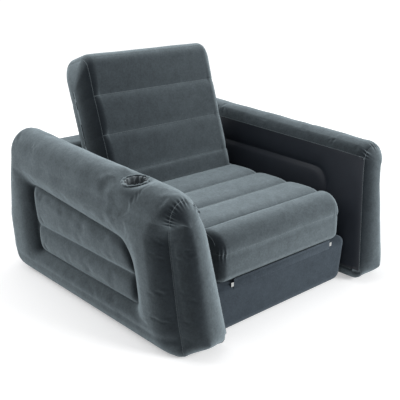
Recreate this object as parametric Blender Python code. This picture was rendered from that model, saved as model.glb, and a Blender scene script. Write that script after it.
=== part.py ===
"""Inflatable armchair that pulls out into a single bed.

Metres, +Z up, the front faces -Y, and the origin is on the floor under the middle of the arms.
Every air chamber is built as it is welded: a wrap of thin film that runs round it, a panel set
into each open end, and inner webs that hold its grooves down. The seat folds out over a flap
hinge at its front edge, and the backrest follows it over a second flap hinge.
"""
from collections import namedtuple
from math import cos, pi, radians, sin

import bmesh
import bpy
from mathutils import Vector

# Film, gaps and seams
film = 0.0005           # thickness of the welded film
touch = 0.0003          # gap between faces that rest on or against each other
half_touch = touch / 2
seam_lap = 0.001        # gap between a wrap and the end panel set into its mouth
seam_tuck = 0.0012      # how far the panel's rim sits behind the wrap's rim
smallest_radius = 0.002
cut_overrun = 0.02      # how far a cutter runs past what it cuts
tidy_distance = 0.000001

# The whole chair
overall_width = 1.17
overall_depth = 1.115

# Arms
arm_foot_width = 0.225      # width of an arm at the floor
arm_flare_share = 0.135     # how far an inner face leans out for each metre of height
arm_inner_height = 0.51     # inner top seam at the front
arm_outer_height = 0.555    # outer top edge at the front
arm_rise = 0.04             # how much higher the arms are at the rear
arm_ring_bulge = 0.008      # how far the ring round the outer recess stands out
arm_top_crown = 0.006
arm_front_crown = 0.04
arm_rear_crown = 0.0225
arm_front_rounding = 0.02
arm_rear_rounding = 0.045
arm_front_inset = 0.012
arm_rear_inset = 0.03
arm_foot_radius = 0.03
arm_shoulder_radius = 0.06
outer_recess_depth = 0.036
outer_lobe_rise = 0.024
inner_recess_depth = 0.022
inner_lobe_rise = 0.014
recess_front = 0.2175       # from the front of the arm to the recess
recess_rear = 0.2475        # from the recess to the rear of the arm
recess_slope = 0.033        # length of the recess's sloping rim
# heights on the arm's outer face, as shares of its height
outer_height_shares = {"ring_low": 0.12, "rim_low": 0.245, "floor_low": 0.285, "lobe_low": 0.355,
                       "crease": 0.43, "lobe_high": 0.55, "floor_high": 0.655, "rim_high": 0.70,
                       "ring_high": 0.82}
inner_height_shares = {"rim_low": 0.27, "floor_low": 0.31, "lobe_low": 0.38, "crease": 0.47,
                       "lobe_high": 0.62, "floor_high": 0.76, "rim_high": 0.81}
arm_top_shares = (0.62, 0.86)   # points of the crown, from the outer edge to the inner seam
recess_end_share = 0.85         # depth of the recess at its two ends
recess_mid_shares = (0.3, 0.68)
rear_round_share = 0.4
rear_round_inset_share = 0.3
arm_panel_ring_shares = (0.9, 0.7)
arm_panel_bulge_shares = (0.55, 1.0)

# Cushions
layer = 0.187               # thickness of the base, the seat and the backrest
seat_setback = 0.0675       # from the front of the arms to the hinge at the seat's front
seat_groove_depth = 0.02
seat_under_groove_depth = 0.008
seat_nose_radius = 0.07
seat_edge_radius = 0.03
seat_front_seam_sink = 0.004
seat_front_seam_drop = 0.006    # below the nose's rounding
seat_groove_shares = (0.177, 0.446, 0.723)          # along the seat from its front
backrest_length = 0.575
backrest_narrowing = 0.01   # narrower than the seat
backrest_lean = radians(18)
backrest_rear_groove_depth = 0.012
backrest_top_radius = 0.05
backrest_groove_shares = (0.148, 0.426, 0.704)      # up the backrest from its hinge
base_groove_depth = 0.012
base_groove_shares = (0.2, 0.4, 0.6, 0.8)
base_edge_radius = 0.03
end_rounding = 0.045        # radius that rolls a cushion's top into its end
end_crown = 0.02            # how far an end panel bulges past its seam
fitted_end_crown = 0.012    # the same where an end lies against an arm
scallop_share = 0.5         # how far a groove draws the end seam in, against its depth
end_seam_angle = radians(60)
end_round_angles = (0.0, radians(35), end_seam_angle)
panel_flat_share = 0.55     # size of an end panel's flat middle
web_side_margin = 0.02
valley_film_share = 1.2     # film measured upright at the bottom of a groove

# points of a rib between two grooves, as shares of its width
rib_shares = (0.12, 0.32, 0.68, 0.88)
plain_rib_flat_share = 0.5      # flat middle of a rib that something lies against
plain_rib_shares = ((1 - plain_rib_flat_share) / 2, (1 + plain_rib_flat_share) / 2)

# Rear wall
wall_height = 0.53
wall_thickness = 0.1826
wall_rear_inset = 0.013     # how far its back stays inside the arms' rear
wall_top_radius = 0.05
wall_foot_radius = 0.03
wall_crease_share = 0.5
wall_crease_depth = 0.012

# Flap hinges
flap_reach = 0.05           # from the hinge line to the flap's welded edge
flap_width_share = 0.74     # of the seat's width
hinge_tab_width = 0.022
hinge_tab_height = 0.03

# Cup holder in the left arm
cup_radius = 0.041
cup_depth = 0.085
cup_wall = 0.0008
cup_foot_radius_share = 0.86
cup_setback = 0.3075        # from the front of the arm
cup_inset = 0.085           # from the arm's outer side
cup_lip_width = 0.011
cup_lip_height = 0.009
cup_rim_lift = 0.004
cup_neck = 0.03             # straight part of the well's wall
cup_lip_gap = 0.0013        # over the arm's faceted crown
cup_lip_shares = ((0, 0), (0, 0.7), (0.45, 1), (0.9, 0.6), (1, 0))   # width, height
cup_sides = 28

# Two-way valve: a wide screw-in body with a small capped nozzle
valve_sides = 20
neck_radius = 0.0265
neck_wall = 0.003
neck_depth = 0.018
flange_radius = 0.034
flange_thickness = 0.0012
thread_clearance = 0.0005
body_depth = 0.014
body_rim_radius = 0.0285
body_rim_thickness = 0.0045
nozzle_radius = 0.0125
nozzle_bore_radius = 0.0095
nozzle_height = 0.0042
cap_wall = 0.002
cap_skirt = 0.0012
cap_hinge_offset = 0.019
ear_width = 0.008
ear_thickness = 0.0014
flap_disc_thickness = 0.0008
strap_length = 0.0066
wall_valve_inset = 0.16     # from the rear wall's end
wall_valve_share = 0.81     # up the rear wall
backrest_valve_inset = 0.155    # from the backrest's end

# Air ports between the welded chambers
port_radius = 0.02
port_sides = 16
wall_port_share = 0.62      # up the rear wall

# Places that follow from the sizes above
front = -overall_depth / 2
rear = overall_depth / 2
arm_foot_gap = overall_width - 2 * arm_foot_width
arm_outer_face = overall_width / 2 - arm_ring_bulge
seat_width = arm_foot_gap
backrest_width = seat_width - backrest_narrowing
hinge_line = front + seat_setback
flap_stack = half_touch + film + touch      # from a hinge line to the skin behind its flap
web_gap = touch + film * valley_film_share
front_seam_y = front + arm_front_crown
rear_seam_y = rear - arm_rear_crown
recess_start = front + recess_front
recess_stop = rear - recess_rear
recess_length = recess_stop - recess_start
tab_top = layer - base_edge_radius
cup_offset = overall_width / 2 - cup_inset
# the backrest leans on the rounded top edge of the rear wall, which sets the seat's length
lean_out, lean_down = cos(backrest_lean), sin(backrest_lean)
wall_back = rear - wall_rear_inset
wall_front = wall_back - wall_thickness
backrest_hinge_height = 2 * layer - seat_groove_depth
backrest_back = layer - seat_groove_depth
backrest_hinge_line = wall_front + wall_top_radius + (
    (backrest_hinge_height - wall_height + wall_top_radius) * lean_down
    - backrest_back - touch - wall_top_radius) / lean_out
seat_length = backrest_hinge_line - hinge_line

# Finishes: colour, roughness
film_grey = ((0.075, 0.085, 0.092), 0.9)
web_grey = ((0.3, 0.31, 0.32), 0.6)
cup_grey = ((0.04, 0.045, 0.05), 0.7)
flap_grey = ((0.05, 0.055, 0.06), 0.8)
tab_pale = ((0.6, 0.6, 0.6), 0.5)
valve_grey = ((0.11, 0.12, 0.13), 0.4)
flap_clear = ((0.5, 0.5, 0.5), 0.3)
crisp = radians(40)

Corner = namedtuple("Corner", "u v radius points sink")
Cushion = namedtuple("Cushion", "half_width corners ribs flare crown")
Ribs = namedtuple("Ribs", "start end valleys depth shares flat")


def clear_scene():
    for old in list(bpy.data.objects):
        bpy.data.objects.remove(old, do_unlink=True)


def material(name, colour, roughness, metallic=0.0):
    made = bpy.data.materials.new(name)
    made.use_nodes = True
    shader = made.node_tree.nodes["Principled BSDF"]
    shader.inputs["Base Color"].default_value = (*colour, 1.0)
    shader.inputs["Roughness"].default_value = roughness
    shader.inputs["Metallic"].default_value = metallic
    return made


def finish(bm, name, colour, parent=None, smooth_angle=None):
    """Turn a bmesh into a named object with a material of its own."""
    mesh = bpy.data.meshes.new(name)
    bm.to_mesh(mesh)
    bm.free()
    obj = bpy.data.objects.new(name, mesh)
    bpy.context.collection.objects.link(obj)
    obj.parent = parent
    obj.data.materials.append(material(name, *colour))
    if smooth_angle:
        mesh.shade_smooth()
        mesh.set_sharp_from_angle(angle=smooth_angle)
    return obj


def pivot(name, location, rotation=(0, 0, 0), parent=None):
    empty = bpy.data.objects.new(name, None)
    bpy.context.collection.objects.link(empty)
    empty.parent = parent
    empty.location = location
    empty.rotation_euler = rotation
    return empty


def face_out(bm, centre):
    """Point the faces of an open skin away from the chamber's middle."""
    bmesh.ops.recalc_face_normals(bm, faces=bm.faces)
    outward = sum(f.calc_area() * f.normal.dot(f.calc_center_median() - centre) for f in bm.faces)
    if outward < 0:
        bmesh.ops.reverse_faces(bm, faces=bm.faces)


def thicken(obj, thickness=film, side=-1.0):
    skin = obj.modifiers.new("film", "SOLIDIFY")
    skin.thickness = thickness
    skin.offset = side
    return obj


def cut(obj, cutter):
    cutter.hide_render = True
    cutter.display_type = "WIRE"
    hole = obj.modifiers.new("hole", "BOOLEAN")
    hole.operation = "DIFFERENCE"
    hole.solver = "EXACT"
    hole.object = cutter


# Outlines with rounded corners, run anticlockwise
def outward(a, b):
    along = Vector((b.u - a.u, b.v - a.v)).normalized()
    return Vector((along.y, -along.x))


def miter(corner, before, after, depth):
    at = Vector((corner.u, corner.v))
    return at - (before + after) * (depth / (1 + before.dot(after)))


def clear_of_corner(distance, inset):
    """Distance of a point from a sharp corner, kept in order when the corner is drawn in."""
    return max(distance, inset + distance / 2)


def outline(corners, shares, inset, lift):
    """Points (u, v, hollow) of a rounded outline, drawn in by inset and raised by lift."""
    points = []
    for i, corner in enumerate(corners):
        following = corners[(i + 1) % len(corners)]
        before = outward(corners[i - 1], corner)
        after = outward(corner, following)
        if corner.points == 1:
            at = miter(corner, before, after, inset)
            points.append((at.x, at.y - corner.sink, corner.sink))
        else:
            radius = max(corner.radius - inset, smallest_radius)
            centre = miter(corner, before, after, inset + radius)
            for k in range(corner.points):
                turn = before.lerp(after, k / (corner.points - 1)).normalized()
                at = centre + radius * turn
                points.append((at.x, at.y, 0.0))
        edge = Vector((following.u - corner.u, following.v - corner.v))
        for share in shares[i]:
            raised = lift(i, share)
            along = edge.length * share
            if corner.points == 1:
                along = clear_of_corner(along, inset)
            if following.points == 1:
                along = edge.length - clear_of_corner(edge.length - along, inset)
            at = Vector((corner.u, corner.v)) + edge.normalized() * along
            at += after * (raised - inset)
            points.append((at.x, at.y, max(-raised, 0.0)))
    return points


# Ribs and grooves
def rib_spans(ribs):
    """The ribs as pairs of valleys; a half rib is mirrored about the edge where it crests."""
    valleys = list(ribs.valleys)
    valleys = [2 * ribs.start - valleys[0]] + valleys + [2 * ribs.end - valleys[-1]]
    return [(a, b) for a, b in zip(valleys, valleys[1:]) if b - a > smallest_radius]


def rib_sink(ribs, at):
    for a, b in rib_spans(ribs):
        if a <= at <= b:
            from_crest = abs(2 * (at - a) / (b - a) - 1)
            return ribs.depth * (max(from_crest - ribs.flat, 0.0) / (1 - ribs.flat)) ** 2
    return 0.0


def rib_places(ribs):
    """Places along an edge that draw the ribs, in rising order."""
    places = set(ribs.valleys)
    for a, b in rib_spans(ribs):
        places.update(a + (b - a) * share for share in ribs.shares)
    return sorted(p for p in places if ribs.start < p < ribs.end)


def cushion_outline(cushion, inset):
    """A cushion's section, in the plane of its length and its thickness."""
    spans = []
    shares = []
    for i, corner in enumerate(cushion.corners):
        following = cushion.corners[(i + 1) % len(cushion.corners)]
        start, end = (corner.v, following.v) if i % 2 else (corner.u, following.u)
        spans.append((start, end))
        ribs = cushion.ribs[i]
        places = rib_places(ribs) if ribs else []
        shares.append(sorted((place - start) / (end - start) for place in places))

    def lift(edge, share):
        start, end = spans[edge]
        return -rib_sink(cushion.ribs[edge], start + share * (end - start))

    return outline(cushion.corners, shares, inset, lift)


# Skins
def tube_of_loops(loops, close_last):
    bm = bmesh.new()
    rows = [[bm.verts.new(p) for p in loop] for loop in loops]
    for one, other in zip(rows, rows[1:]):
        for k in range(len(one)):
            after = (k + 1) % len(one)
            bm.faces.new((one[k], one[after], other[after], other[k]))
    if close_last:
        last = bm.faces.new(rows[-1])
        bmesh.ops.triangulate(bm, faces=[last], ngon_method="BEAUTY")
    return bm


def skin(name, loops, colour, parent, centre, close_last=False):
    """Film through a row of loops with as many points each; a panel is closed at its last."""
    bm = tube_of_loops(loops, close_last)
    face_out(bm, centre)
    return thicken(finish(bm, name, colour, parent))


def slab(name, low, high, colour, parent=None):
    """A flat piece of film between two opposite corners."""
    low, high = Vector(low), Vector(high)
    bm = bmesh.new()
    bmesh.ops.create_cube(bm, size=1)
    bmesh.ops.scale(bm, vec=high - low, verts=bm.verts)
    bmesh.ops.translate(bm, vec=(low + high) / 2, verts=bm.verts)
    return finish(bm, name, colour, parent)


def cushion_loop(cushion, side, x, inset, scallop):
    loop = []
    for y, z, hollow in cushion_outline(cushion, inset):
        across = x + cushion.flare * z - scallop_share * hollow * scallop
        loop.append(Vector((side * across, y, z)))
    return loop


def panel_middle(cushion, side, rim):
    """The flat middle of an end panel: the rim drawn in, on the plane of the cushion's end."""
    centre = sum(rim, Vector()) / len(rim)
    ring = [centre + (p - centre) * panel_flat_share for p in rim]
    return [Vector((side * (cushion.half_width + cushion.flare * p.z), p.y, p.z)) for p in ring]


def make_cushion(name, cushion, colour, parent=None):
    """A wrap and the two panels in its ends."""
    seam_x = cushion.half_width - cushion.crown
    stations = []
    for angle in end_round_angles:
        x = seam_x - end_rounding * (sin(end_seam_angle) - sin(angle))
        stations.append((x, end_rounding * (1 - cos(angle)), sin(angle) / sin(end_seam_angle)))
    corners = cushion.corners
    centre = sum((Vector((0, c.u, c.v)) for c in corners), Vector()) / len(corners)
    left = [cushion_loop(cushion, -1, *station) for station in stations]
    right = [cushion_loop(cushion, 1, *station) for station in stations]
    wrap = skin(name + "_wrap", left[::-1] + right, colour, parent, centre)
    x, inset, scallop = stations[-1]
    panels = []
    for side, word in ((-1, "left"), (1, "right")):
        rim = cushion_loop(cushion, side, x - seam_tuck, inset + film + seam_lap, scallop)[::side]
        loops = [rim, panel_middle(cushion, side, rim)]
        panels.append(skin(f"{name}_{word}_panel", loops, colour, parent, centre, close_last=True))
    return wrap, panels


def make_webs(name, cushion, valleys, low, high, colour, parent=None):
    """Upright sheets that tie each groove to the film opposite."""
    reach = cushion.half_width - cushion.crown - end_rounding * sin(end_seam_angle) - web_side_margin
    for number, y in enumerate(valleys, 1):
        slab(f"{name}_web_{number}", (-reach, y - film / 2, low + web_gap),
             (reach, y + film / 2, high - web_gap), colour, parent)


def turned(name, profile, sides, colour, parent=None, smooth_angle=crisp):
    """A solid of revolution about local Z from a closed profile of (radius, height) points."""
    bm = bmesh.new()
    verts = [bm.verts.new((r, 0, z)) for r, z in profile]
    pairs = zip(verts, verts[1:] + verts[:1])
    edges = [bm.edges.new(pair) for pair in pairs if any(v.co.x > 0 for v in pair)]
    bmesh.ops.spin(bm, geom=verts + edges, axis=(0, 0, 1), cent=(0, 0, 0), angle=2 * pi,
                   steps=sides, use_merge=True)
    bmesh.ops.remove_doubles(bm, verts=bm.verts, dist=tidy_distance)
    bmesh.ops.recalc_face_normals(bm, faces=bm.faces)
    return finish(bm, name, colour, parent, smooth_angle)


def drill(name, radius, sides, low, high, parent=None):
    """A hidden cutter along local Z."""
    return turned(name, [(0, low), (radius, low), (radius, high), (0, high)], sides, film_grey, parent)


# Arms
def arm_inner_face(z):
    return arm_foot_gap / 2 + arm_flare_share * z


def arm_corners(y):
    rise = arm_rise * (y - front) / overall_depth
    inner, outer = arm_inner_height + rise, arm_outer_height + rise
    return [Corner(arm_inner_face(0), 0, arm_foot_radius, 2, 0),
            Corner(arm_outer_face, 0, arm_foot_radius, 3, 0),
            Corner(arm_outer_face, outer, arm_shoulder_radius, 4, 0),
            Corner(arm_inner_face(inner), inner, 0, 1, 0)]


def arm_outline(y, inset=0.0, hollow=0.0, lobe=0.0, ring=0.0):
    """An arm's section at y. Hollow, lobe and ring say how fully its recess shows there."""
    outer_names = list(outer_height_shares)
    inner_names = list(inner_height_shares)[::-1]
    shares = [[], list(outer_height_shares.values()), list(arm_top_shares),
              [1 - inner_height_shares[n] for n in inner_names]]

    def recess(word, depth, rise):
        if word.startswith("ring"):
            return arm_ring_bulge * ring
        if word.startswith("rim"):
            return 0.0
        puffed = rise * lobe if word.startswith("lobe") else 0.0
        return puffed - depth * hollow

    def lift(edge, share):
        if edge == 1:
            word = outer_names[shares[1].index(share)]
            return recess(word, outer_recess_depth, outer_lobe_rise)
        if edge == 3:
            word = inner_names[shares[3].index(share)]
            return recess(word, inner_recess_depth, inner_lobe_rise)
        return arm_top_crown

    return outline(arm_corners(y), shares, inset, lift)


def arm_loop(side, y, **section):
    return [Vector((side * u, y, v)) for u, v, _ in arm_outline(y, **section)]


def arm_panel(name, side, seam_y, towards, inset, crown, centre):
    """A bulged panel at the front or rear end of an arm."""
    rim = arm_loop(side, seam_y - towards * seam_tuck, inset=inset + film + seam_lap)
    middle = sum(rim, Vector()) / len(rim)
    loops = [rim]
    for share, bulge in zip(arm_panel_ring_shares, arm_panel_bulge_shares):
        shift = Vector((0, towards * (crown * bulge + seam_tuck), 0))
        loops.append([middle + (p - middle) * share + shift for p in rim])
    return skin(name, loops, film_grey, None, centre, close_last=True)


def make_arm(word, side):
    full_recess = [(recess_start + recess_length * share, {"hollow": 1.0, "lobe": 1.0, "ring": 1.0})
                   for share in recess_mid_shares]
    stations = [
        (front_seam_y, {"inset": arm_front_inset}),
        (front_seam_y + arm_front_rounding, {}),
        ((front_seam_y + arm_front_rounding + recess_start) / 2, {"ring": 1.0}),
        (recess_start, {"ring": 1.0}),
        (recess_start + recess_slope, {"hollow": recess_end_share, "ring": 1.0}),
        *full_recess,
        (recess_stop - recess_slope, {"hollow": recess_end_share, "ring": 1.0}),
        (recess_stop, {"ring": 1.0}),
        ((rear_seam_y - arm_rear_rounding + recess_stop) / 2, {"ring": 1.0}),
        (rear_seam_y - arm_rear_rounding, {}),
        (rear_seam_y - arm_rear_rounding * rear_round_share,
         {"inset": arm_rear_inset * rear_round_inset_share}),
        (rear_seam_y, {"inset": arm_rear_inset}),
    ]
    centre = Vector((side * (arm_inner_face(0) + arm_outer_face) / 2, 0, arm_inner_height / 2))
    loops = [arm_loop(side, y, **section) for y, section in stations]
    wrap = skin(word + "_arm_wrap", loops, film_grey, None, centre)
    arm_panel(word + "_arm_front_panel", side, front_seam_y, -1, arm_front_inset,
              arm_front_crown, centre)
    arm_panel(word + "_arm_rear_panel", side, rear_seam_y, 1, arm_rear_inset,
              arm_rear_crown, centre)
    make_arm_web(word, side, [y for y, _ in full_recess])
    return wrap


def make_arm_web(word, side, stations):
    """A level sheet between the creases of an arm's two recesses."""
    outer_share = outer_height_shares["crease"]
    inner_share = inner_height_shares["crease"]
    edges = []
    for y in stations:
        _, foot_out, top_out, top_in = arm_corners(y)
        out = Vector((foot_out.u - outer_recess_depth - web_gap, y, top_out.v * outer_share))
        z = top_in.v * inner_share
        inn = Vector((arm_inner_face(z) + inner_recess_depth + web_gap, y, z))
        edges.append((inn, out))
    (inn_a, out_a), (inn_b, out_b) = edges
    bm = bmesh.new()
    bm.faces.new([bm.verts.new((side * p.x, p.y, p.z)) for p in (inn_a, out_a, out_b, inn_b)])
    thicken(finish(bm, word + "_arm_web", web_grey), side=0.0)


# Cup holder
def surface_height(points, u):
    """Height of the top of a closed outline above u."""
    heights = []
    for (u0, v0, _), (u1, v1, _) in zip(points, points[1:] + points[:1]):
        if u0 != u1 and min(u0, u1) <= u <= max(u0, u1):
            heights.append(v0 + (v1 - v0) * (u - u0) / (u1 - u0))
    return max(heights)


def make_cup_holder(arm_wrap):
    centre = Vector((-cup_offset, front + cup_setback, 0))
    turns = [2 * pi * k / cup_sides for k in range(cup_sides)]

    def top_at(turn, radius):
        """A point over the arm, clear of the ridge between it and its neighbours."""
        around = [(centre.x + radius * cos(angle), centre.y + radius * sin(angle))
                  for angle in (turn - pi / cup_sides, turn, turn + pi / cup_sides)]
        height = max(surface_height(arm_outline(y), abs(x)) for x, y in around)
        return *around[1], height

    rim = max(top_at(turn, cup_radius)[2] for turn in turns) + cup_rim_lift
    neck, foot = rim - cup_neck, rim - cup_depth
    foot_radius = cup_radius * cup_foot_radius_share
    well = turned("cup_holder_well", [
        (0, foot), (foot_radius, foot), (cup_radius, neck), (cup_radius, rim),
        (cup_radius - cup_wall, rim), (cup_radius - cup_wall, neck),
        (foot_radius - cup_wall, foot + cup_wall), (0, foot + cup_wall)], cup_sides, cup_grey)
    well.location = centre
    hole = drill("cup_hole_cutter", cup_radius + touch, cup_sides, foot, rim + cut_overrun)
    hole.location = centre
    cut(arm_wrap, hole)
    loops = []
    for turn in turns:
        loop = []
        for width_share, rise_share in cup_lip_shares:
            x, y, z = top_at(turn, cup_radius + touch + cup_lip_width * width_share)
            loop.append((x, y, z + cup_lip_gap + cup_lip_height * rise_share))
        loops.append([Vector(p) for p in loop])
    bm = tube_of_loops(loops + [loops[0]], close_last=False)
    bmesh.ops.remove_doubles(bm, verts=bm.verts, dist=tidy_distance)
    bmesh.ops.recalc_face_normals(bm, faces=bm.faces)
    finish(bm, "cup_holder_lip", film_grey, smooth_angle=crisp)


# Valves
def make_valve(name, skin_obj, location, rotation, parent=None):
    """A valve whose local Z points out of the film and whose zero height is the film's face."""
    mouth = pivot(name + "_place", location, rotation, parent)
    cut(skin_obj, drill(name + "_hole_cutter", neck_radius + touch, valve_sides,
                        -cut_overrun, cut_overrun, mouth))
    bore = neck_radius - neck_wall
    top = touch + flange_thickness
    turned(name + "_flange", [
        (bore, -neck_depth), (neck_radius, -neck_depth), (neck_radius, touch),
        (flange_radius, touch), (flange_radius, top), (bore, top)], valve_sides, valve_grey, mouth)
    plug = bore - thread_clearance
    rim_low, rim_high = top + touch, top + touch + body_rim_thickness
    nozzle_top = rim_high + nozzle_height
    turned(name + "_body", [
        (nozzle_bore_radius, -body_depth), (plug, -body_depth), (plug, rim_low),
        (body_rim_radius, rim_low), (body_rim_radius, rim_high), (nozzle_radius, rim_high),
        (nozzle_radius, nozzle_top), (nozzle_bore_radius, nozzle_top)],
        valve_sides, valve_grey, mouth)
    flap_hinge = pivot(name + "_flap_hinge", (-nozzle_radius, 0, -body_depth - touch), parent=mouth)
    disc_radius = nozzle_radius - touch
    flap = turned(name + "_flap", [
        (0, -flap_disc_thickness), (disc_radius, -flap_disc_thickness), (disc_radius, 0), (0, 0)],
        valve_sides, flap_clear, flap_hinge)
    flap.location.x = nozzle_radius
    lid_low = nozzle_top + touch
    cap_radius = nozzle_radius + thread_clearance + cap_wall
    hinge_height = lid_low + cap_wall / 2
    cap_hinge = pivot(name + "_cap_hinge", (-cap_hinge_offset, 0, hinge_height), parent=mouth)
    cap = turned(name + "_cap", [
        (0, lid_low), (cap_radius - cap_wall, lid_low), (cap_radius - cap_wall, lid_low - cap_skirt),
        (cap_radius, lid_low - cap_skirt), (cap_radius, lid_low + cap_wall),
        (0, lid_low + cap_wall)], valve_sides, valve_grey, cap_hinge)
    cap.location = (cap_hinge_offset, 0, -hinge_height)
    ear = slab(name + "_ear_joiner", (-half_touch, -ear_width / 2, -ear_thickness / 2),
               (cap_hinge_offset - nozzle_radius, ear_width / 2, ear_thickness / 2),
               valve_grey, cap_hinge)
    join(cap, ear)
    slab(name + "_strap", (-cap_hinge_offset - strap_length / 2, -ear_width / 2, rim_high + touch),
         (-cap_hinge_offset + strap_length / 2, ear_width / 2,
          hinge_height - ear_thickness / 2 - touch), valve_grey, mouth)
    return mouth


def join(obj, added):
    added.hide_render = True
    added.display_type = "WIRE"
    union = obj.modifiers.new("joined", "BOOLEAN")
    union.operation = "UNION"
    union.solver = "EXACT"
    union.object = added


# Chambers
def box_corners(low_u, high_u, low_v, high_v, radii, counts, sinks=(0, 0, 0, 0)):
    places = ((low_u, low_v), (high_u, low_v), (high_u, high_v), (low_u, high_v))
    return [Corner(u, v, r, n, s) for (u, v), r, n, s in zip(places, radii, counts, sinks)]


def make_base():
    start, end = hinge_line + flap_stack, wall_front - touch
    top = layer - half_touch
    valleys = [start + (end - start) * share for share in base_groove_shares]
    corners = box_corners(start, end, 0, top, (base_edge_radius,) * 4, (2, 2, 3, 3))
    ribs = Ribs(start + base_edge_radius, end - base_edge_radius, valleys, base_groove_depth,
                plain_rib_shares, plain_rib_flat_share)
    base = Cushion(arm_foot_gap / 2 - touch, corners, (None, None, ribs, None), arm_flare_share,
                   fitted_end_crown)
    wrap, _ = make_cushion("seat_base", base, film_grey)
    make_webs("seat_base", base, valleys, 0, top - base_groove_depth, web_grey)
    return wrap


def make_seat(parent):
    start, end = flap_stack, seat_length - flap_stack
    low, top = half_touch, layer
    valleys = [seat_length * share for share in seat_groove_shares]
    corners = box_corners(start, end, low, top,
                          (seat_edge_radius, seat_edge_radius, 0, seat_nose_radius), (3, 3, 1, 5),
                          (0, 0, seat_groove_depth, 0))
    upper = Ribs(start + seat_nose_radius, end, valleys + [end], seat_groove_depth, rib_shares, 0)
    under = Ribs(start + seat_edge_radius, end - seat_edge_radius, valleys,
                 seat_under_groove_depth, plain_rib_shares, plain_rib_flat_share)
    seam = top - seat_nose_radius - seat_front_seam_drop
    nose = Ribs(low + seat_edge_radius, top - seat_nose_radius, [seam], seat_front_seam_sink, (), 0)
    seat = Cushion(seat_width / 2, corners, (under, None, upper, nose), 0.0, end_crown)
    _, panels = make_cushion("fold_out_seat", seat, film_grey, parent)
    make_webs("fold_out_seat", seat, valleys, low + seat_under_groove_depth,
              top - seat_groove_depth, web_grey, parent)
    middle = ((start + end) / 2, (low + top) / 2)
    make_valve("seat_valve", panels[0], (-seat_width / 2, *middle), (0, radians(-90), 0), parent)


def make_backrest(parent):
    start, end = flap_stack, backrest_length
    low, top = seat_groove_depth - layer, seat_groove_depth
    valleys = [backrest_length * share for share in backrest_groove_shares]
    corners = box_corners(start, end, low, top,
                          (seat_edge_radius, backrest_top_radius, backrest_top_radius, 0),
                          (3, 4, 4, 1), (0, 0, 0, seat_groove_depth))
    upper = Ribs(start, end - backrest_top_radius, [start] + valleys, seat_groove_depth,
                 rib_shares, 0)
    under = Ribs(start + seat_edge_radius, end - backrest_top_radius, valleys,
                 backrest_rear_groove_depth, plain_rib_shares, plain_rib_flat_share)
    backrest = Cushion(backrest_width / 2, corners, (under, None, upper, None), 0.0, end_crown)
    wrap, _ = make_cushion("backrest", backrest, film_grey, parent)
    make_webs("backrest", backrest, valleys, low + backrest_rear_groove_depth,
              top - seat_groove_depth, web_grey, parent)
    place = (backrest_width / 2 - backrest_valve_inset, (valleys[1] + valleys[2]) / 2, low)
    make_valve("backrest_valve", wrap, place, (radians(180), 0, 0), parent)


def make_rear_wall():
    crease = wall_height * wall_crease_share
    corners = box_corners(wall_front, wall_back, 0, wall_height,
                          (wall_foot_radius, wall_foot_radius, wall_top_radius, wall_top_radius),
                          (2, 2, 4, 4))
    back = Ribs(wall_foot_radius, wall_height - wall_top_radius, [crease], wall_crease_depth,
                plain_rib_shares, plain_rib_flat_share)
    wall = Cushion(arm_foot_gap / 2 - touch, corners, (None, back, None, None), arm_flare_share,
                   fitted_end_crown)
    wrap, panels = make_cushion("rear_wall", wall, film_grey)
    reach = wall.half_width - end_rounding - web_side_margin
    slab("rear_wall_web", (-reach, wall_front + web_gap, crease - film / 2),
         (reach, wall_back - wall_crease_depth - web_gap, crease + film / 2), web_grey)
    place = (arm_foot_gap / 2 - wall_valve_inset, wall_back, wall_height * wall_valve_share)
    make_valve("wall_valve", wrap, place, (radians(-90), 0, 0))
    return wrap, panels


def make_flaps(fold_out, backrest):
    """Two welded leaves at each fold, which meet on its hinge line."""
    reach = seat_width * flap_width_share / 2
    near, far = half_touch, half_touch + film
    slab("seat_flap_lower", (-reach, hinge_line + near, layer - flap_reach),
         (reach, hinge_line + far, layer - half_touch), flap_grey)
    slab("seat_flap_upper", (-reach, near, half_touch), (reach, far, flap_reach), flap_grey, fold_out)
    height = backrest_hinge_height - layer
    slab("backrest_flap_lower", (-reach, seat_length - far, height - flap_reach),
         (reach, seat_length - near, height), flap_grey, fold_out)
    slab("backrest_flap_upper", (-reach, near, -flap_reach), (reach, far, 0), flap_grey, backrest)
    for side, word in ((-1, "left"), (1, "right")):
        inner = side * (reach + touch)
        outer = inner + side * hinge_tab_width
        slab(f"hinge_tab_{word}", (min(inner, outer), hinge_line + near, tab_top - hinge_tab_height),
             (max(inner, outer), hinge_line + far, tab_top), tab_pale)


def make_ports(left_wrap, right_wrap, wall_wrap, wall_panels, base_wrap):
    """Round ports through which one valve fills the arms, the rear wall and the base."""
    depth = (wall_front + wall_back) / 2
    for side, arm, panel in ((-1, left_wrap, wall_panels[0]), (1, right_wrap, wall_panels[1])):
        height = wall_height * wall_port_share
        place = pivot(arm.name + "_port_place", (side * arm_inner_face(height), depth, height),
                      (0, radians(90), 0))
        cutter = drill(arm.name + "_port_cutter", port_radius, port_sides, -cut_overrun,
                       cut_overrun, place)
        cut(arm, cutter)
        cut(panel, cutter)
    place = pivot("base_port_place", (0, wall_front, layer / 2), (radians(90), 0, 0))
    cutter = drill("base_port_cutter", port_radius, port_sides, -cut_overrun, cut_overrun, place)
    cut(base_wrap, cutter)
    cut(wall_wrap, cutter)


clear_scene()
fold_out_hinge = pivot("fold_out_hinge", (0, hinge_line, layer))
backrest_hinge = pivot("backrest_hinge", (0, seat_length, backrest_hinge_height - layer),
                       (pi / 2 - backrest_lean, 0, 0), fold_out_hinge)
left_arm = make_arm("left", -1)
right_arm = make_arm("right", 1)
make_cup_holder(left_arm)
rear_wall, rear_wall_panels = make_rear_wall()
seat_base = make_base()
make_seat(fold_out_hinge)
make_backrest(backrest_hinge)
make_flaps(fold_out_hinge, backrest_hinge)
make_ports(left_arm, right_arm, rear_wall, rear_wall_panels, seat_base)
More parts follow.
